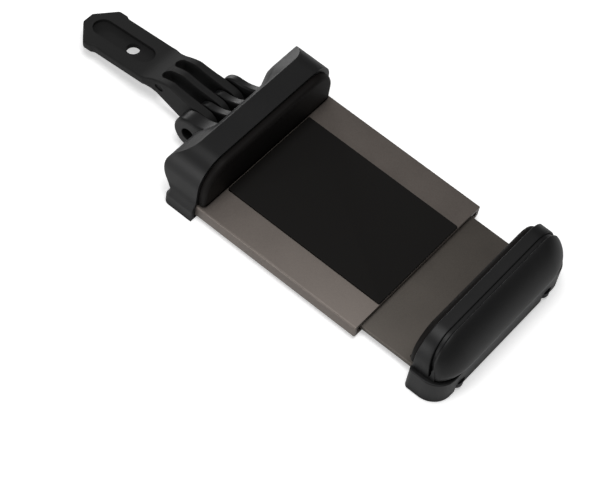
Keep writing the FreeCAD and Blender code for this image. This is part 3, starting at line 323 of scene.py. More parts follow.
def drawn_in(outline, depth):
    """Each point moves inwards along its mitre: depth / cos(half the turn) along the mean normal."""
    along = np.roll(outline, -1, axis=0) - outline
    along /= np.linalg.norm(along, axis=1)[:, None]
    x, y = outline.T
    area = np.sum(x * np.roll(y, -1) - y * np.roll(x, -1))
    normal = np.stack([-along[:, 1], along[:, 0]], axis=1) * np.sign(area)
    mean = normal + np.roll(normal, 1, axis=0)
    mean /= np.linalg.norm(mean, axis=1)[:, None]
    return outline + mean * depth / np.maximum(0.5, np.sum(mean * normal, axis=1))[:, None]


print("drawn in by 1 mm it is %.1f mm wide" % np.ptp(drawn_in(sample, 1.0)[:, 0]))

# %% [markdown]
# ## Lofts
# A piece is a loft: a row of closed rings with the same number of points, joined by quads and closed at
# both ends. Skinning the rings from arrays, instead of extruding and scaling by hand, keeps the quads
# even, so the shading runs smoothly over them. No moulded or cut edge is quite sharp, and the thin line
# of light along it is what makes it look real, so rings draw in along a quarter circle before each end.


# %% Meshes
WELD_MM = 0.002


def mesh_piece(name, points, faces, finish, smooth_deg=40):
    """A closed mesh in the frame from plate millimetres, with edges sharper than the angle kept."""
    mesh = bpy.data.meshes.new(name)
    mesh.from_pydata(plate(points).tolist(), [], faces)
    work = bmesh.new()
    work.from_mesh(mesh)
    bmesh.ops.remove_doubles(work, verts=work.verts, dist=WELD_MM * MM)
    bmesh.ops.dissolve_degenerate(work, edges=work.edges, dist=WELD_MM * MM)
    bmesh.ops.recalc_face_normals(work, faces=work.faces)
    work.to_mesh(mesh)
    work.free()
    mesh.shade_smooth()
    mesh.set_sharp_from_angle(angle=math.radians(smooth_deg))
    mesh.materials.append(finish)
    piece = bpy.data.objects.new(name, mesh)
    bpy.context.scene.collection.objects.link(piece)
    return piece


def loft(name, rings, finish, smooth_deg=40, paired=False):
    """Quads (r, p), (r, p+1), (r+1, p+1), (r+1, p); an end takes one face, or quads between pairs."""
    count = len(rings[0])
    ring, point = np.meshgrid(np.arange(len(rings) - 1), np.arange(count), indexing="ij")
    after = (point + 1) % count
    here, there = ring * count, (ring + 1) * count
    quads = np.stack([here + point, here + after, there + after, there + point], axis=-1)
    faces = quads.reshape(-1, 4).tolist()
    pair = np.arange(count // 2 - 1)
    for first in (0, (len(rings) - 1) * count):
        last = first + count - 1
        if paired:
            ends = [first + pair, first + pair + 1, last - 1 - pair, last - pair]
            faces += np.stack(ends, axis=1).tolist()
        else:
            faces.append(list(range(first, first + count)))
    return mesh_piece(name, np.concatenate(rings), faces, finish, smooth_deg)


print("points closer than %.3f mm are welded" % WELD_MM)

# %% [markdown]
# Most pieces are pressed: one outline, carried along one direction. Which direction it is depends on the
# piece, and a small function for each keeps the outlines flat and easy to read.


# %% Pressing
def lying(x, y, level):
    """Outline in X and Y, pressed along Z."""
    return np.stack([x, y, level], axis=1)


def facing(y, z, level):
    """Outline in Y and Z, pressed along X."""
    return np.stack([level, y, z], axis=1)


def sideways(x, z, level):
    """Outline in X and Z, pressed along Y."""
    return np.stack([x, level, z], axis=1)


def set_down(outline, level, place):
    """The outline at one level, in the directions of a place above."""
    return place(outline[:, 0], outline[:, 1], np.full(len(outline), level))


def edge_steps(low, high, low_edge, high_edge, steps=4):
    """Levels and depths of a rounded edge: level r (1 - cos a), depth r (1 - sin a), at both ends."""
    turns = np.linspace(0, math.pi / 2, steps + 1)
    first = [(low + low_edge * (1 - math.cos(a)), low_edge * (1 - math.sin(a))) for a in turns]
    last = [(high - high_edge * (1 - math.cos(a)), high_edge * (1 - math.sin(a))) for a in turns[::-1]]
    return (first if low_edge else [(low, 0)]) + (last if high_edge else [(high, 0)])


def pressed(name, outline, low, high, low_edge, high_edge, place, finish):
    """A plate of an outline, from one level to another, with rounded edges; place sets it in space."""
    rows = edge_steps(low, high, low_edge, high_edge)
    return loft(name, [set_down(drawn_in(outline, depth), level, place) for level, depth in rows], finish)


print("an edge of 1 mm goes through", [round(float(depth), 2) for level, depth in edge_steps(0, 5, 1, 1)[:5]])

# %% [markdown]
# ## Cuts
# Bores, sockets and seats could be built into each skin, but their edges would cross its rings. They are
# cut with Boolean modifiers instead, as a workshop drills and mills them: the cutter is a plain prism, and
# a narrow bevel then breaks the edges that it leaves. The result is read back as a mesh, so no modifier or
# cutter is left in the scene.


# %% Cutting
BROKEN_EDGE_DEG = 42


def prism(name, outline, low, high, place, finish):
    """A plain prism of an outline between two levels, for cutting."""
    return loft(name, [set_down(outline, level, place) for level in (low, high)], finish)


def block(name, low, high):
    """A plain box between two corners, for cutting."""
    outline = np.array([(low[0], low[1]), (high[0], low[1]), (high[0], high[1]), (low[0], high[1])], float)
    return prism(name, outline, low[2], high[2], lying, moulded)


def crown_block(name, half, top, corner, low, start, end):
    """A crown, upright with round top corners, between two places along the slide, for cutting."""
    outline = rounded([(-half, low, 0), (half, low, 0), (half, top, corner), (-half, top, corner)], steps=14)
    return prism(name, outline, start, end, facing, moulded)


def carved(piece, cutters, edge_mm=0.15):
    """Cut the cutters out of the piece, round the edges that they leave, and clear them away."""
    for cutter in cutters:
        cut = piece.modifiers.new("cut", "BOOLEAN")
        cut.operation = "DIFFERENCE"
        cut.solver = "EXACT"
        cut.object = cutter
    edge = piece.modifiers.new("edge", "BEVEL")
    edge.width = edge_mm * MM
    edge.segments = 2
    edge.limit_method = "ANGLE"
    edge.angle_limit = math.radians(BROKEN_EDGE_DEG)
    even = piece.modifiers.new("even", "WEIGHTED_NORMAL")
    even.keep_sharp = True
    made = bpy.data.meshes.new_from_object(piece.evaluated_get(bpy.context.evaluated_depsgraph_get()))
    piece.modifiers.clear()
    piece.data = made
    for cutter in cutters:
        bpy.data.objects.remove(cutter)
    return piece


def stand_for(piece, body, slot, *nodes):
    """The piece rides on a body and replaces CAD nodes; its slot is not used."""
    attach(piece, body)
    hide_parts(*nodes)
    print("%s: %d faces" % (piece.name, len(piece.data.polygons)))
    return piece


# %% [markdown]
# ## Outer plate
# The outer plate is a channel: a sheet whose side walls curl under into lips that hold the slider in. It
# could be a flat sheet with a solidify modifier, but the walls and lips differ in thickness, so its
# section is walked round its outside and back along its inside and then pressed along the slide.

# %% Outer plate
PLATE_HALF = 27.0
PLATE_DEPTH = 4.7
PLATE_SHEET = 1.2
LIP_WIDTH = 5.5
LIP_SHEET = 0.9
PLATE_LENGTH = 61.0
CUT_EDGE = 0.12


def make_outer_plate():
    """Section (y, z, corner radius): lip, wall and face outside, then face, wall and lip inside."""
    wall, lip = PLATE_HALF - PLATE_SHEET, PLATE_HALF - LIP_WIDTH
    outside = [(lip, -PLATE_DEPTH, 0.2), (PLATE_HALF, -PLATE_DEPTH, 1.4), (PLATE_HALF, 0, 0.5)]
    inside = [(wall, -PLATE_SHEET, 0.4), (wall, -PLATE_DEPTH + LIP_SHEET, 0.4),
              (lip, -PLATE_DEPTH + LIP_SHEET, 0.2)]
    outside_left = [(-y, z, r) for y, z, r in outside[::-1]]
    inside_left = [(-y, z, r) for y, z, r in inside[::-1]]
    section = rounded(outside + outside_left + inside_left + inside, steps=5)
    return pressed("outer_plate_skin", section, -PLATE_LENGTH, 0, CUT_EDGE, CUT_EDGE, facing, anodised)


stand_for(make_outer_plate(), "cradle", "anodised_plate", "outer_plate")

# %% [markdown]
# ## Slider and face pad
# The slider is a flat sheet that runs inside the channel, and the face pad a foam sheet stuck on the outer
# plate to keep a phone's back off the metal. Both are pressed from an outline. The foam's long sides get
# a point every millimetre, which keeps its soft upper edge even.

# %% Slider and face pad
SLIDER_HALF = 24.1
SLIDER_TOP = -2.05
SLIDER_SHEET = 1.2
SLIDER_TAIL = 42.0
SLIDER_REACH = 24.0
FACE_HALF = 17.0
FACE_SHEET = 0.7
FACE_NEAR, FACE_FAR = -0.1, -52.1


def oblong(start, end, half, radius, steps):
    """Rounded rectangle lying along the slide."""
    corners = [(start, -half), (end, -half), (end, half), (start, half)]
    return rounded([(x, y, radius) for x, y in corners], steps)


def make_slider():
    """A flat sheet with lightly broken edges."""
    outline = oblong(-SLIDER_TAIL, SLIDER_REACH, SLIDER_HALF, 0.5, 3)
    low = SLIDER_TOP - SLIDER_SHEET
    return pressed("slider_skin", outline, low, SLIDER_TOP, 0.15, 0.15, lying, anodised_painted_shade)


def make_face_pad():
    """Thin foam sheet between the fixed pad and the plate's end edge."""
    outline = spaced(oblong(FACE_FAR, FACE_NEAR, FACE_HALF, 0.4, 3), 1.0)
    return pressed("face_foam", outline, 0, FACE_SHEET, 0, 0.3, lying, foam)


stand_for(make_slider(), "moving_jaw", "anodised_plate", "slider_plate")
stand_for(make_face_pad(), "cradle", "foam_pad", "face_pad")

# %% [markdown]
# ## Curves for the jaws
# The jaws' sides are made of arcs that run into each other. An arc given by its two ends and a radius is
# the handiest form, because the ends can be read off a side view. A smooth step eases one form into
# the next without a crease, as a toolmaker blends two surfaces.


# %% Curves
def bend(start, end, radius, steps=10):
    """Arc from start to end that bulges to the right of that direction, or left for a negative radius."""
    start, end = np.array(start, float), np.array(end, float)
    chord = end - start
    side = np.array([chord[1], -chord[0]]) / np.linalg.norm(chord)
    half = np.linalg.norm(chord) / 2
    middle = (start + end) / 2 - side * math.sqrt(radius ** 2 - half ** 2) * np.sign(radius)
    first = np.arctan2(*(start - middle)[::-1])
    sweep = (np.arctan2(*(end - middle)[::-1]) - first + math.pi) % (2 * math.pi) - math.pi
    turns = first + sweep * np.linspace(0, 1, steps + 1)
    return middle + abs(radius) * np.stack([np.cos(turns), np.sin(turns)], axis=1)


def eased(t):
    """Smooth step 3t^2 - 2t^3 between 0 and 1."""
    t = np.clip(t, 0, 1)
    return t * t * (3 - 2 * t)


def corner_fall(across, half, radius):
    """How far a corner of the radius has drawn in at this width: r - sqrt(r^2 - d^2)."""
    past = min(max(0.0, across - (half - radius)), radius)
    return radius - math.sqrt(radius * radius - past * past)


print("an 8 mm corner has fallen %.2f mm one millimetre before its end" % corner_fall(26.0, 27.0, 8.0))

# %% [markdown]
# ## Fixed jaw
# The fixed jaw is one plastic moulding. Seen from the side its back runs from a narrow crest down a
# straight bevel, round a bulge, into a waist and out to a foot; seen along the slide its top corners are
# round. It could be extruded and sculpted, but the same section is wanted all along it with two changes:
# a hollow behind the hinge and a flare towards the foot's ends. So it is skinned from sections side by
# side, each the same profile, cut down to the crown's height and shifted by the hollow and the flare.

# %% Fixed jaw profile
JAW_HALF = 27.3
JAW_TOP = 15.1
JAW_CORNER = 8.2
FOOT_LEVEL = -5.4
FOOT_HALF = 28.6
FIXED_RIM = -54.6
CROWN_BACK = -61.4
BEVEL_BACK, BEVEL_LEVEL = -64.6, 12.5
BULGE_RADIUS = 7.9
NECK_BACK, FOOT_OUT = -63.9, -64.3
NECK_LEVEL = -0.5


def jaw_profile():
    """The jaw's back seen from the side, downwards: crest, straight bevel, bulge, hollow neck and foot."""
    # the small offsets are millimetres that lead each arc into the next
    crest = bend((CROWN_BACK + 0.35, JAW_TOP), (CROWN_BACK - 0.3, JAW_TOP - 0.25), 0.7, 4)
    bulge = bend((BEVEL_BACK, BEVEL_LEVEL), (NECK_BACK, NECK_LEVEL + 1.0), BULGE_RADIUS, 24)
    neck = bend((NECK_BACK + 0.15, NECK_LEVEL + 0.7), (FOOT_OUT, NECK_LEVEL - 1.6), -2.4, 8)
    foot = [(FOOT_OUT, FOOT_LEVEL + 0.5), (FOOT_OUT + 0.15, FOOT_LEVEL + 0.15), (FOOT_OUT + 0.5, FOOT_LEVEL)]
    return np.concatenate([crest, bulge, neck, foot])


profile = jaw_profile()
print("profile of %d points, %.1f mm deep" % (len(profile), profile[:, 0].max() - profile[:, 0].min()))

# %% [markdown]
# The hollow gives the arm's knuckle room and eases out beside the ears; the flare widens the foot so that
# the jaw stands firmly. Both are plain functions of the place across the jaw and the height, which is why
# sections side by side suit them.

# %% Fixed jaw
SCOOP, BACK_CORNER = 2.1, 1.4
SCOOP_FLAT, SCOOP_EASE, SCOOP_RISE = 9.0, 7.0, 4
FLARE_TOP, FLARE_RISE = 2.4, 4.2
FLARE_WIDTH = 8


def scoop(across, z):
    """Hollow of the back: depth * ease across * ease down from the top edge * ease up from the foot."""
    along = 1 - eased((abs(across) - SCOOP_FLAT) / SCOOP_EASE)
    depth = eased((JAW_TOP - z) / (JAW_TOP - BEVEL_LEVEL)) * eased((z - FOOT_LEVEL) / SCOOP_RISE)
    return SCOOP * along * depth + corner_fall(abs(across), JAW_HALF, BACK_CORNER)


def foot_flare(across, z):
    """Towards the ends the sides run out to the foot's width, eased over the height of the flare."""
    share = eased((np.abs(across) - JAW_HALF + FLARE_WIDTH) / FLARE_WIDTH)
    return np.sign(across) * share * (FOOT_HALF - JAW_HALF) * eased((FLARE_TOP - z) / FLARE_RISE)


def jaw_section(across):
    """The profile at one place across the slide: what stands above the crown there is cut down to it."""
    top = JAW_TOP - corner_fall(abs(across), JAW_HALF, JAW_CORNER)
    above = profile[:, 1] > top
    back_x = np.where(above, np.interp(-top, -profile[:, 1], profile[:, 0]), profile[:, 0])
    back_z = np.minimum(profile[:, 1], top)
    back_x = back_x + scoop(across, back_z)
    x = np.concatenate([back_x, np.full(len(back_x), FIXED_RIM)])
    return x, np.concatenate([back_z, back_z[::-1]])


def make_fixed_jaw():
    """Sections side by side across the slide, closer together where the crown turns down."""
    turning = JAW_HALF - JAW_CORNER * (1 - np.sin(np.linspace(0, math.pi / 2, 30)))
    stations = np.concatenate([np.linspace(0, JAW_HALF - JAW_CORNER, 10)[:-1], turning])
    rings = []
    for across in np.concatenate([-stations[::-1], stations[1:]]):
        x, z = jaw_section(across)
        rings.append(sideways(x, z, across + foot_flare(np.full(len(z), across), z)))
    return loft("fixed_jaw_skin", rings, moulded, smooth_deg=28, paired=True)


for across in (0, SCOOP_FLAT + SCOOP_EASE):
    print("%.0f mm from the middle the back is %.2f mm hollow" % (across, scoop(across, NECK_LEVEL)))

# %% [markdown]
# The jaw grips the plate's end in a socket and carries its rubber face in a shallow seat. Both are cut out
# with a small gap all round, as the real pieces have, and the rim left round the seat gets a soft edge.

# %% Socket and seat
PAD_HALF = 26.3
PAD_TOP = 14.0
PAD_CORNER = 8.4
PAD_RECESS = 1.0
FIT_GAP = 0.05
OVERCUT = 3

seat = crown_block("seat", PAD_HALF + FIT_GAP, PAD_TOP + FIT_GAP, PAD_CORNER, 0,
                   FIXED_RIM + OVERCUT, FIXED_RIM - PAD_RECESS)
socket = block("socket", (-PLATE_LENGTH - FIT_GAP, -PLATE_HALF - FIT_GAP, -PLATE_DEPTH - FIT_GAP),
               (FIXED_RIM + OVERCUT, PLATE_HALF + FIT_GAP, FIT_GAP))
fixed_jaw = carved(make_fixed_jaw(), [seat, socket], 0.35)
stand_for(fixed_jaw, "cradle", "jaw_plastic", "fixed_jaw_shell")

# %% [markdown]
# ## Hinge
# Two ears and two thinner webs grow out of the jaw's back and hold the arm's fingers between them on one
# pin. All four share an outline: a hollow sweep from the crest down to the knuckle, the knuckle itself and
# a straight underside. They are pressed across the slide and bored through, each with its own thickness.

# %% Hinge ears
HINGE_BACK, HINGE_LEVEL = -70.8, 2.0
EAR_CREST, EAR_BASE, EAR_ROOT = 11.3, -4.4, -60.0
EAR_START = -62.2
EAR_SWEEP = 12.0
EAR_RADIUS, WEB_RADIUS = 5.2, 4.0
EAR_CLEAR = 7.3
NEAR_EAR, FAR_EAR = 4.9, 2.5
WEB_WIDTH = 2.3
SLOT_OFFSET = 2.65
BORE_RADIUS = 2.16


def ear_outline(radius):
    """Root inside the jaw, hollow arc down to the knuckle, then the knuckle from 90 to 262 degrees."""
    around = np.linspace(math.radians(90), math.radians(262), 22)
    knuckle = np.stack([HINGE_BACK + radius * np.cos(around), HINGE_LEVEL + radius * np.sin(around)], axis=1)
    hollow = bend((EAR_START, EAR_CREST), tuple(knuckle[0]), -EAR_SWEEP, 12)[:-1]
    root = np.array([(EAR_ROOT, EAR_BASE), (EAR_ROOT, EAR_CREST)])
    return np.concatenate([root, hollow, knuckle])


def make_ear(name, start, width, radius, edge):
    """One ear or web, pressed across the slide, with its bore cut through it."""
    ear = pressed(name, ear_outline(radius), start, start + width, edge, edge, sideways, moulded)
    ring = ellipse(HINGE_BACK, HINGE_LEVEL, BORE_RADIUS, BORE_RADIUS)
    bore = prism(name + "_bore", ring, start - 1, start + width + 1, sideways, moulded)
    return stand_for(carved(ear, [bore], 0.2), "cradle", "jaw_plastic", "fixed_jaw_shell")


make_ear("near_ear_skin", -EAR_CLEAR - NEAR_EAR, NEAR_EAR, EAR_RADIUS, 0.9)
make_ear("far_ear_skin", EAR_CLEAR, FAR_EAR, EAR_RADIUS, 0.7)
for name, middle in (("near_web_skin", -SLOT_OFFSET), ("far_web_skin", SLOT_OFFSET)):
    make_ear(name, middle - WEB_WIDTH / 2, WEB_WIDTH, WEB_RADIUS, 0.35)

# %% [markdown]
# ## Rubber faces
# Each jaw has a face of soft rubber, pressed into its seat. It is a plain crown whose front edge is well
# rounded. A cloth or soft-body run would add nothing, because the rubber is thick and only gives under a
# phone.

# %% Rubber pads
FIXED_FACE = -52.3
PAD_EDGE, PAD_EDGE_STEPS = 1.3, 6
PAD_FOOT_CORNER = 0.6
PAD_SPACING = 1.2


def make_pad(name, back, face, low, node, body):
    """A crown of soft rubber: its outline is drawn in along a quarter circle at the face."""
    corners = [(-PAD_HALF, low, PAD_FOOT_CORNER), (PAD_HALF, low, PAD_FOOT_CORNER),
               (PAD_HALF, PAD_TOP, PAD_CORNER), (-PAD_HALF, PAD_TOP, PAD_CORNER)]
    outline = spaced(rounded(corners, steps=16), PAD_SPACING)
    if back < face:
        rows = edge_steps(back, face, 0, PAD_EDGE, PAD_EDGE_STEPS)
    else:
        rows = edge_steps(face, back, PAD_EDGE, 0, PAD_EDGE_STEPS)
    rings = [set_down(drawn_in(outline, depth), level, facing) for level, depth in rows]
    pad = loft(name, rings, soft_rubber)
    return stand_for(pad, body, "soft_rubber", node)


make_pad("fixed_pad_skin", FIXED_RIM - PAD_RECESS, FIXED_FACE, 0.05, "fixed_jaw_pad", "cradle")

# %% [markdown]
# ## Rim and core of the moving jaw
# The moving jaw is a rim towards the phone, a groove, and a separate cover behind it, all standing on one
# base. The rim and the core at the bottom of the groove are crowns stacked along the slide. Each crown is
# one ring, and a ring may lean: its foot stands further out than its top, as the groove's wall does.

# %% Crown rings
SIDE_STEPS, ARC_STEPS, TOP_STEPS, UNDER_STEPS = 12, 14, 12, 24


def crown_ring(top, foot, half, corner):
    """One crown: top and foot are (x, z); x between them goes with height, so a ring may lean."""
    corner = min(corner, max(0.0, top[1] - foot[1]) * 0.98, half)
    side_z = np.linspace(foot[1], top[1] - corner, SIDE_STEPS, endpoint=False)
    turns = np.linspace(0, math.pi / 2, ARC_STEPS, endpoint=False)
    arc_y = half - corner + corner * np.cos(turns)
    arc_z = top[1] - corner + corner * np.sin(turns)
    flat_y = np.linspace(half - corner, 0, TOP_STEPS, endpoint=False)
    y = np.concatenate([np.full(SIDE_STEPS, half), arc_y, flat_y])
    z = np.concatenate([side_z, arc_z, np.full(TOP_STEPS, top[1])])
    under = np.linspace(-half, half, UNDER_STEPS)[1:-1]
    y = np.concatenate([y, [0], -y[::-1], under])
    z = np.concatenate([z, [top[1]], z[::-1], np.full(len(under), foot[1])])
    share = (z - foot[1]) / max(1e-6, top[1] - foot[1])
    return np.stack([foot[0] + (top[0] - foot[0]) * share, y, z], axis=1)


print("a crown has %d points" % len(crown_ring((0, 15), (0, 2), 27, 8)))

# %% Rim and core
MOVING_RIM = 18.2
RIM_TOP_BACK = 21.7
BASE_RISE = 2.9
LEAN = math.tan(math.radians(8.8))
CORE_SIDE, CORE_TOP, CORE_BACK = 1.2, 0.5, 23.5
CROWN_LOW = BASE_RISE - 1
FRONT_EDGE = ((0.25, 0), (0.07, 0.07), (0, 0.25))
BACK_EDGE = ((0, 1.6), (0, 0.4), (0.12, 0.12), (0.4, 0))


def make_rim():
    """Crowns from the rim's face to the groove, whose wall leans outwards as it goes down."""
    rings = []
    for depth, shift in FRONT_EDGE:
        rings.append(crown_ring((MOVING_RIM + shift, JAW_TOP - depth), (MOVING_RIM + shift, CROWN_LOW),
                                JAW_HALF - depth, JAW_CORNER - depth))
    for depth, shift in BACK_EDGE:
        foot = RIM_TOP_BACK - shift + LEAN * (JAW_TOP - CROWN_LOW)
        rings.append(crown_ring((RIM_TOP_BACK - shift, JAW_TOP - depth), (foot, CROWN_LOW),
                                JAW_HALF - depth, JAW_CORNER - depth))
    return loft("moving_rim_skin", rings, moulded)


def make_core():
    """Crown inside the groove, which the cover closes on; its back leans as the groove's wall does."""
    top, front = JAW_TOP - CORE_TOP, MOVING_RIM + 1.2
    ends = ((front, front), (CORE_BACK, CORE_BACK + LEAN * (top - CROWN_LOW)))
    rings = [crown_ring((upper, top), (foot, CROWN_LOW), JAW_HALF - CORE_SIDE, JAW_CORNER - CORE_SIDE)
             for upper, foot in ends]
    return loft("moving_core_skin", rings, moulded)


moving_rim = carved(make_rim(), [
    crown_block("seat", PAD_HALF + FIT_GAP, PAD_TOP + FIT_GAP, PAD_CORNER, BASE_RISE,
                MOVING_RIM - OVERCUT, MOVING_RIM + PAD_RECESS),
])
stand_for(moving_rim, "moving_jaw", "jaw_plastic", "moving_jaw_body")
stand_for(make_core(), "moving_jaw", "jaw_plastic", "moving_jaw_body")

# %% [markdown]
# ## Base of the moving jaw
# The base is wider than the rim and turns round the outer corners in a wide arc. It is pressed upwards
# from its plan. The socket for the slider and the two recesses that lead to the cover's screws are cut
# from it, the recesses through its outer edge, where they show as small notches.

# %% Base
BASE_FRONT, BASE_BACK = 17.9, 28.9
BASE_CORNER, BASE_INNER_CORNER = 6.0, 1.5
BASE_LOW_EDGE, BASE_TOP_EDGE = 0.5, 0.35
RECESS_BACK, RECESS_OFFSET, RECESS_RADIUS, RECESS_TOP = 27.4, 19.0, 2.5, -2.0


def make_base():
    """The base, pressed upwards from a plan with wide outer corners."""
    corners = [(BASE_FRONT, -FOOT_HALF, BASE_INNER_CORNER), (BASE_BACK, -FOOT_HALF, BASE_CORNER),
               (BASE_BACK, FOOT_HALF, BASE_CORNER), (BASE_FRONT, FOOT_HALF, BASE_INNER_CORNER)]
    outline = spaced(rounded(corners, steps=14), 2.0)
    return pressed("moving_base_skin", outline, FOOT_LEVEL, BASE_RISE, BASE_LOW_EDGE, BASE_TOP_EDGE,
                   lying, moulded)


recesses = [prism("recess", ellipse(RECESS_BACK, side * RECESS_OFFSET, RECESS_RADIUS, RECESS_RADIUS),
                  FOOT_LEVEL - 1, RECESS_TOP, lying, moulded) for side in (-1, 1)]
socket_low = (BASE_FRONT - OVERCUT, -SLIDER_HALF - FIT_GAP, SLIDER_TOP - SLIDER_SHEET - FIT_GAP)
socket_high = (SLIDER_REACH + FIT_GAP, SLIDER_HALF + FIT_GAP, SLIDER_TOP + FIT_GAP)
slider_socket = block("socket", socket_low, socket_high)
moving_base = carved(make_base(), recesses + [slider_socket], 0.2)
stand_for(moving_base, "moving_jaw", "jaw_plastic", "moving_jaw_body")

# %% [markdown]
# ## Cover of the moving jaw
# The cover is a separate shell that bows outwards and tucks in above the base. Its section changes along
# it, lower and flatter towards the round ends, so it is skinned from sections side by side like the
# fixed jaw. The last sections are drawn in along a quarter circle, which gives its rim a soft edge.

# %% Cover section
COVER_HALF = JAW_HALF - 0.15
COVER_PLAN, COVER_TURN = 5.0, 10.0
COVER_EDGE = 0.8
COVER_LIP = 0.4
GROOVE = 1.0
BELLY_BACK, BELLY_LEVEL = 29.66, 5.6
FACE_OUT, FACE_DOWN = 1.4, 1.25
TUCK, TUCK_MORE, TUCK_SPAN = 1.1, 0.3, 6


def cover_section(across):
    """Face x = wall + reach sin^1.4 a, z = top - rise (1 - cos^1.25 a), then the tuck and the front wall."""
    top = JAW_TOP - corner_fall(across, COVER_HALF, JAW_CORNER)
    past = max(0.0, across - (COVER_HALF - COVER_TURN)) / COVER_TURN
    belly = BELLY_BACK - COVER_PLAN * (1 - math.sqrt(max(0.0, 1 - past * past)))
    wall_top = RIM_TOP_BACK + GROOVE + LEAN * (JAW_TOP - top)
    wall_low = RIM_TOP_BACK + GROOVE + LEAN * (JAW_TOP - BASE_RISE)
    turns = np.linspace(0, math.pi / 2, 30)
    rise = max(0.3, top - BELLY_LEVEL)
    face_x = wall_top + COVER_LIP + (belly - wall_top - COVER_LIP) * np.sin(turns) ** FACE_OUT
    face_z = top - rise * (1 - np.cos(turns) ** FACE_DOWN)
    tuck = np.linspace(0, math.pi / 2, 10)[1:]
    tuck_x = belly - (TUCK + TUCK_MORE * (belly - wall_low) / TUCK_SPAN) * (1 - np.cos(tuck))
    tuck_z = face_z[-1] - (face_z[-1] - BASE_RISE) * np.sin(tuck)
    wall_z = np.linspace(BASE_RISE, top - COVER_LIP, 12)
    wall_x = wall_low + (wall_top - wall_low) * (wall_z - BASE_RISE) / (top - COVER_LIP - BASE_RISE)
    return np.concatenate([np.stack([face_x, face_z], axis=1), np.stack([tuck_x, tuck_z], axis=1),
                           np.stack([wall_x, wall_z], axis=1)])


def make_cover():
    """Sections side by side across the slide; near its ends each section is drawn in, so the rim is round."""
    inner = np.linspace(0, COVER_HALF - JAW_CORNER, 12)
    outer = COVER_HALF - JAW_CORNER * (1 - np.sin(np.linspace(0, math.pi / 2, 26)[1:]))
    stations = [y for y in np.concatenate([inner, outer]) if y < COVER_HALF - COVER_EDGE]
    stations += list(COVER_HALF - COVER_EDGE * (1 - np.sin(np.linspace(0, math.pi / 2, 6))))
    rings = []
    for across in sorted(set([-y for y in stations] + stations)):
        past = max(0.0, abs(across) - (COVER_HALF - COVER_EDGE)) / COVER_EDGE
        depth = COVER_EDGE * (1 - math.sqrt(max(0.0, 1 - past * past)))
        rings.append(set_down(drawn_in(cover_section(abs(across)), depth), across, sideways))
    return loft("moving_cover_skin", rings, moulded)


stand_for(make_cover(), "moving_jaw", "jaw_plastic", "moving_jaw_cover")

# %% [markdown]
# The moving jaw's rubber face is the same crown as the fixed jaw's, turned round and standing on the base.

# %% Moving face
MOVING_FACE = 16.3
make_pad("moving_pad_skin", MOVING_RIM + PAD_RECESS, MOVING_FACE, BASE_RISE, "moving_jaw_pad", "moving_jaw")

# %% [markdown]
# ## Arm
# The arm is one nylon moulding: a knuckle, a ramp, a flat tongue and a pointed head. It is drawn along
# its own line from the hinge, u outwards and v upwards, because its faces are straight in those
# directions, and it is set down at its rest tilt at the end. Three lines over u give its top, its
# underside and its half width, and rounded oblongs are skinned between them.

# %% Arm directions
ARM_TILT = math.radians(-6.35)


def on_arm(u, y, v):
    """Arm directions to the plate's: u runs back from the hinge, and the whole turns by the tilt."""
    x, z = -np.asarray(u, float), np.asarray(v, float)
    across = np.asarray(y, float)
    turned_x = x * math.cos(ARM_TILT) + z * math.sin(ARM_TILT) + HINGE_BACK
    turned_z = -x * math.sin(ARM_TILT) + z * math.cos(ARM_TILT) + HINGE_LEVEL
    return np.stack(np.broadcast_arrays(turned_x, across, turned_z), axis=1)


def arm_sideways(u, v, y):
    """Outline in u and v, pressed along y."""
    return on_arm(u, y, v)


print("arm rests at %.2f degrees" % math.degrees(ARM_TILT))

# %% Arm
KNUCKLE = 4.1
FINGERS_HALF = 7.0
FORK_RISE, TONGUE_RISE, TONGUE_SHEET = 6.0, 3.45, 2.6
ARM_REACH = 47.32
RAMP_START, RAMP_END = 11.0, 22.6
ARM_EDGE, KNUCKLE_EDGE = 0.55, 0.6
MOST_EDGE = 0.45

ramp_share = np.linspace(0, 1, 15)
ramp_u = np.linspace(RAMP_START, RAMP_END, 15)
ramp_v = TONGUE_RISE + (FORK_RISE - TONGUE_RISE) * (1 - eased(ramp_share))
TOP_LINE = np.concatenate([[(0, KNUCKLE), (6, 4.9), (10, 5.7)], np.stack([ramp_u, ramp_v], axis=1),
                           [(ARM_REACH, TONGUE_RISE)]])
LOW_LINE = np.array([
    (0, -KNUCKLE), (3.5, -3.95), (7.6, -3.3), (8.4, -3.05), (15.6, -0.6), (16.6, -0.25),
    (20.2, TONGUE_RISE - TONGUE_SHEET), (ARM_REACH, TONGUE_RISE - TONGUE_SHEET),
])
HALF_LINE = np.array([
    (-KNUCKLE, FINGERS_HALF), (4, FINGERS_HALF), (16.6, 6.25), (18.5, 6.45), (21, 7.15), (38.2, 7.15),
    (38.8, 7.25), (39.6, 7.7), (42, 7.7), (42.6, 7.4), (46.8, 2.7), (ARM_REACH, 2.1),
])


def arm_section(u, low, high, half, edge):
    """One rounded oblong across the arm; an edge takes at most 0.45 of the oblong's size."""
    edge = min(edge, (high - low) * MOST_EDGE, half * MOST_EDGE)
    corners = [(-half, low), (half, low), (half, high), (-half, high)]
    outline = rounded([(y, v, edge) for y, v in corners], steps=4)
    return on_arm(np.full(len(outline), u), outline[:, 0], outline[:, 1])


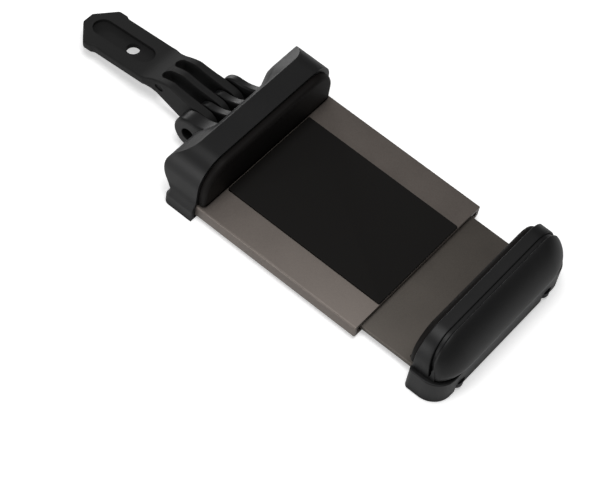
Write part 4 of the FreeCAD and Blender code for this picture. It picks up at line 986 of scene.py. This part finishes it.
def make_arm():
    """Knuckle u = -r cos a, height r sin a, then oblongs read off the three lines at each station."""
    sections = []
    for turn in np.linspace(0.12, math.pi / 2, 9)[:-1]:
        rise = KNUCKLE * math.sin(turn)
        sections.append(arm_section(-KNUCKLE * math.cos(turn), -rise, rise, FINGERS_HALF, KNUCKLE_EDGE))
    kinks = [TOP_LINE[:, 0], LOW_LINE[:, 0], HALF_LINE[1:, 0]]
    stations = np.concatenate([np.arange(0, ARM_REACH, 1.0)] + kinks)
    for u in sorted(set(np.round(stations, 3))):
        top, low, half = (np.interp(u, line[:, 0], line[:, 1]) for line in (TOP_LINE, LOW_LINE, HALF_LINE))
        sections.append(arm_section(u, low, top, half, ARM_EDGE))
    return loft("arm_skin", sections, nylon)


print("arm reaches %.2f mm and is %.1f mm wide at most" % (ARM_REACH, 2 * HALF_LINE[:, 1].max()))

# %% [markdown]
# What makes it an arm and not a bar is cut afterwards: two long slots between the three fingers, which
# the jaw's webs run in, the sunk channel with its hole in the tongue, the bore for the pin, and a small
# dimple in the near side. Cutting keeps the skin simple and gives the slots their round ends.

# %% Arm cuts
SLOT_START, SLOT_END, SLOT_RADIUS = -9, 15.3, 1.7
CHANNEL_START, CHANNEL_END, CHANNEL_RADIUS, CHANNEL_DEPTH = 26.3, 41.7, 3.0, 1.0
HOLE_REACH, HOLE_RADIUS = 30.6, 2.0
DIMPLE_REACH, DIMPLE_LEVEL = 15.5, 2.7
DIMPLE_WIDE, DIMPLE_HIGH, DIMPLE_FLOOR = 1.5, 1.0, -5.9

cutters = [prism("slot", stadium(SLOT_START, SLOT_END, side * SLOT_OFFSET, SLOT_RADIUS), -9, 9, on_arm, nylon)
           for side in (-1, 1)]
channel = stadium(CHANNEL_START, CHANNEL_END, 0, CHANNEL_RADIUS)
cutters += [
    prism("channel", channel, TONGUE_RISE - CHANNEL_DEPTH, TONGUE_RISE + 3, on_arm, nylon),
    prism("hole", ellipse(HOLE_REACH, 0, HOLE_RADIUS, HOLE_RADIUS), -3, 9, on_arm, nylon),
    prism("bore", ellipse(0, 0, BORE_RADIUS, BORE_RADIUS), -12, 12, arm_sideways, nylon),
    prism("dimple", ellipse(DIMPLE_REACH, DIMPLE_LEVEL, DIMPLE_WIDE, DIMPLE_HIGH), -9, DIMPLE_FLOOR,
          arm_sideways, nylon),
]
arm = carved(make_arm(), cutters, 0.18)
stand_for(arm, "arm", "arm_plastic", "arm")

# %% [markdown]
# ## Floor
# The clamp stands on a plain white table. A white floor alone goes grey where the lamps are weak, so it
# also gives off a little light of its own, but only to the camera: if the pieces saw that light too,
# their undersides would glow. The floor is stage, and no part of the object.


# %% Floor
FLOOR_REACH = 3.0
FLOOR_GLOW = 0.44


def make_floor():
    """A square 3 m each way from the origin, at the level that the feet stand on."""
    far = FLOOR_REACH
    mesh = bpy.data.meshes.new("floor")
    mesh.from_pydata([(-far, -far, 0), (far, -far, 0), (far, far, 0), (-far, far, 0)], [], [(0, 1, 2, 3)])
    floor = bpy.data.objects.new("floor", mesh)
    bpy.context.scene.collection.objects.link(floor)
    # table top: matt white laminate; a plain ground on which only soft shadows show
    material, tree, shader = new_finish("white_table")
    shader.inputs["Base Color"].default_value = linear("#fbfbfb")
    shader.inputs["Roughness"].default_value = 0.9
    seen = add(tree, "ShaderNodeEmission", inputs={"Color": (1, 1, 1, 1), "Strength": FLOOR_GLOW})
    rays = add(tree, "ShaderNodeLightPath")
    both = add(tree, "ShaderNodeAddShader", links={0: shader.outputs["BSDF"], 1: seen.outputs[0]})
    mix = add(tree, "ShaderNodeMixShader",
              links={0: rays.outputs["Is Camera Ray"], 1: shader.outputs["BSDF"], 2: both.outputs[0]})
    tree.links.new(mix.outputs[0], tree.nodes["Material Output"].inputs["Surface"])
    mesh.materials.append(material)
    return floor


print("floor:", make_floor().name)

# %% [markdown]
# ## Light
# One large soft lamp overhead gives the broad sheen on the plates and the faint shadows. A lamp low
# behind the hinge draws the light line along the fixed jaw's bevel, and a weak one from the near side
# opens up the jaws' ends. Black plastic shows its form by such edges of light more than by its shade.


# %% Light
SKY = 0.15


def make_lamp(name, place_mm, aim_mm, size_mm, watts):
    """Soft square lamp at a place, facing a point, both in plate millimetres."""
    data = bpy.data.lights.new(name, "AREA")
    data.size = size_mm * MM
    data.energy = watts
    lamp = bpy.data.objects.new(name, data)
    place, aim = Vector(plate(place_mm)), Vector(plate(aim_mm))
    lamp.matrix_world = Matrix.Translation(place) @ facing_turn(place, aim)
    bpy.context.scene.collection.objects.link(lamp)
    print("%s: %.2f W, %.0f mm away" % (name, watts, (aim - place).length / MM))
    return lamp


make_lamp("overhead", (-10, -50, 560), (-30, 0, 0), 330, 2.0)
make_lamp("back_strip", (-460, 260, 30), (-60, 0, 10), 150, 0.65)
make_lamp("front_fill", (-120, -340, 90), (-40, 0, 0), 150, 0.45)
# the sky is even and weak, so that no shadow is quite black
world = bpy.data.worlds.new("studio")
world.use_nodes = True
background = world.node_tree.nodes["Background"]
background.inputs["Color"].default_value = (1, 1, 1, 1)
background.inputs["Strength"].default_value = SKY
bpy.context.scene.world = world
bpy.context.scene.view_settings.view_transform = "Standard"
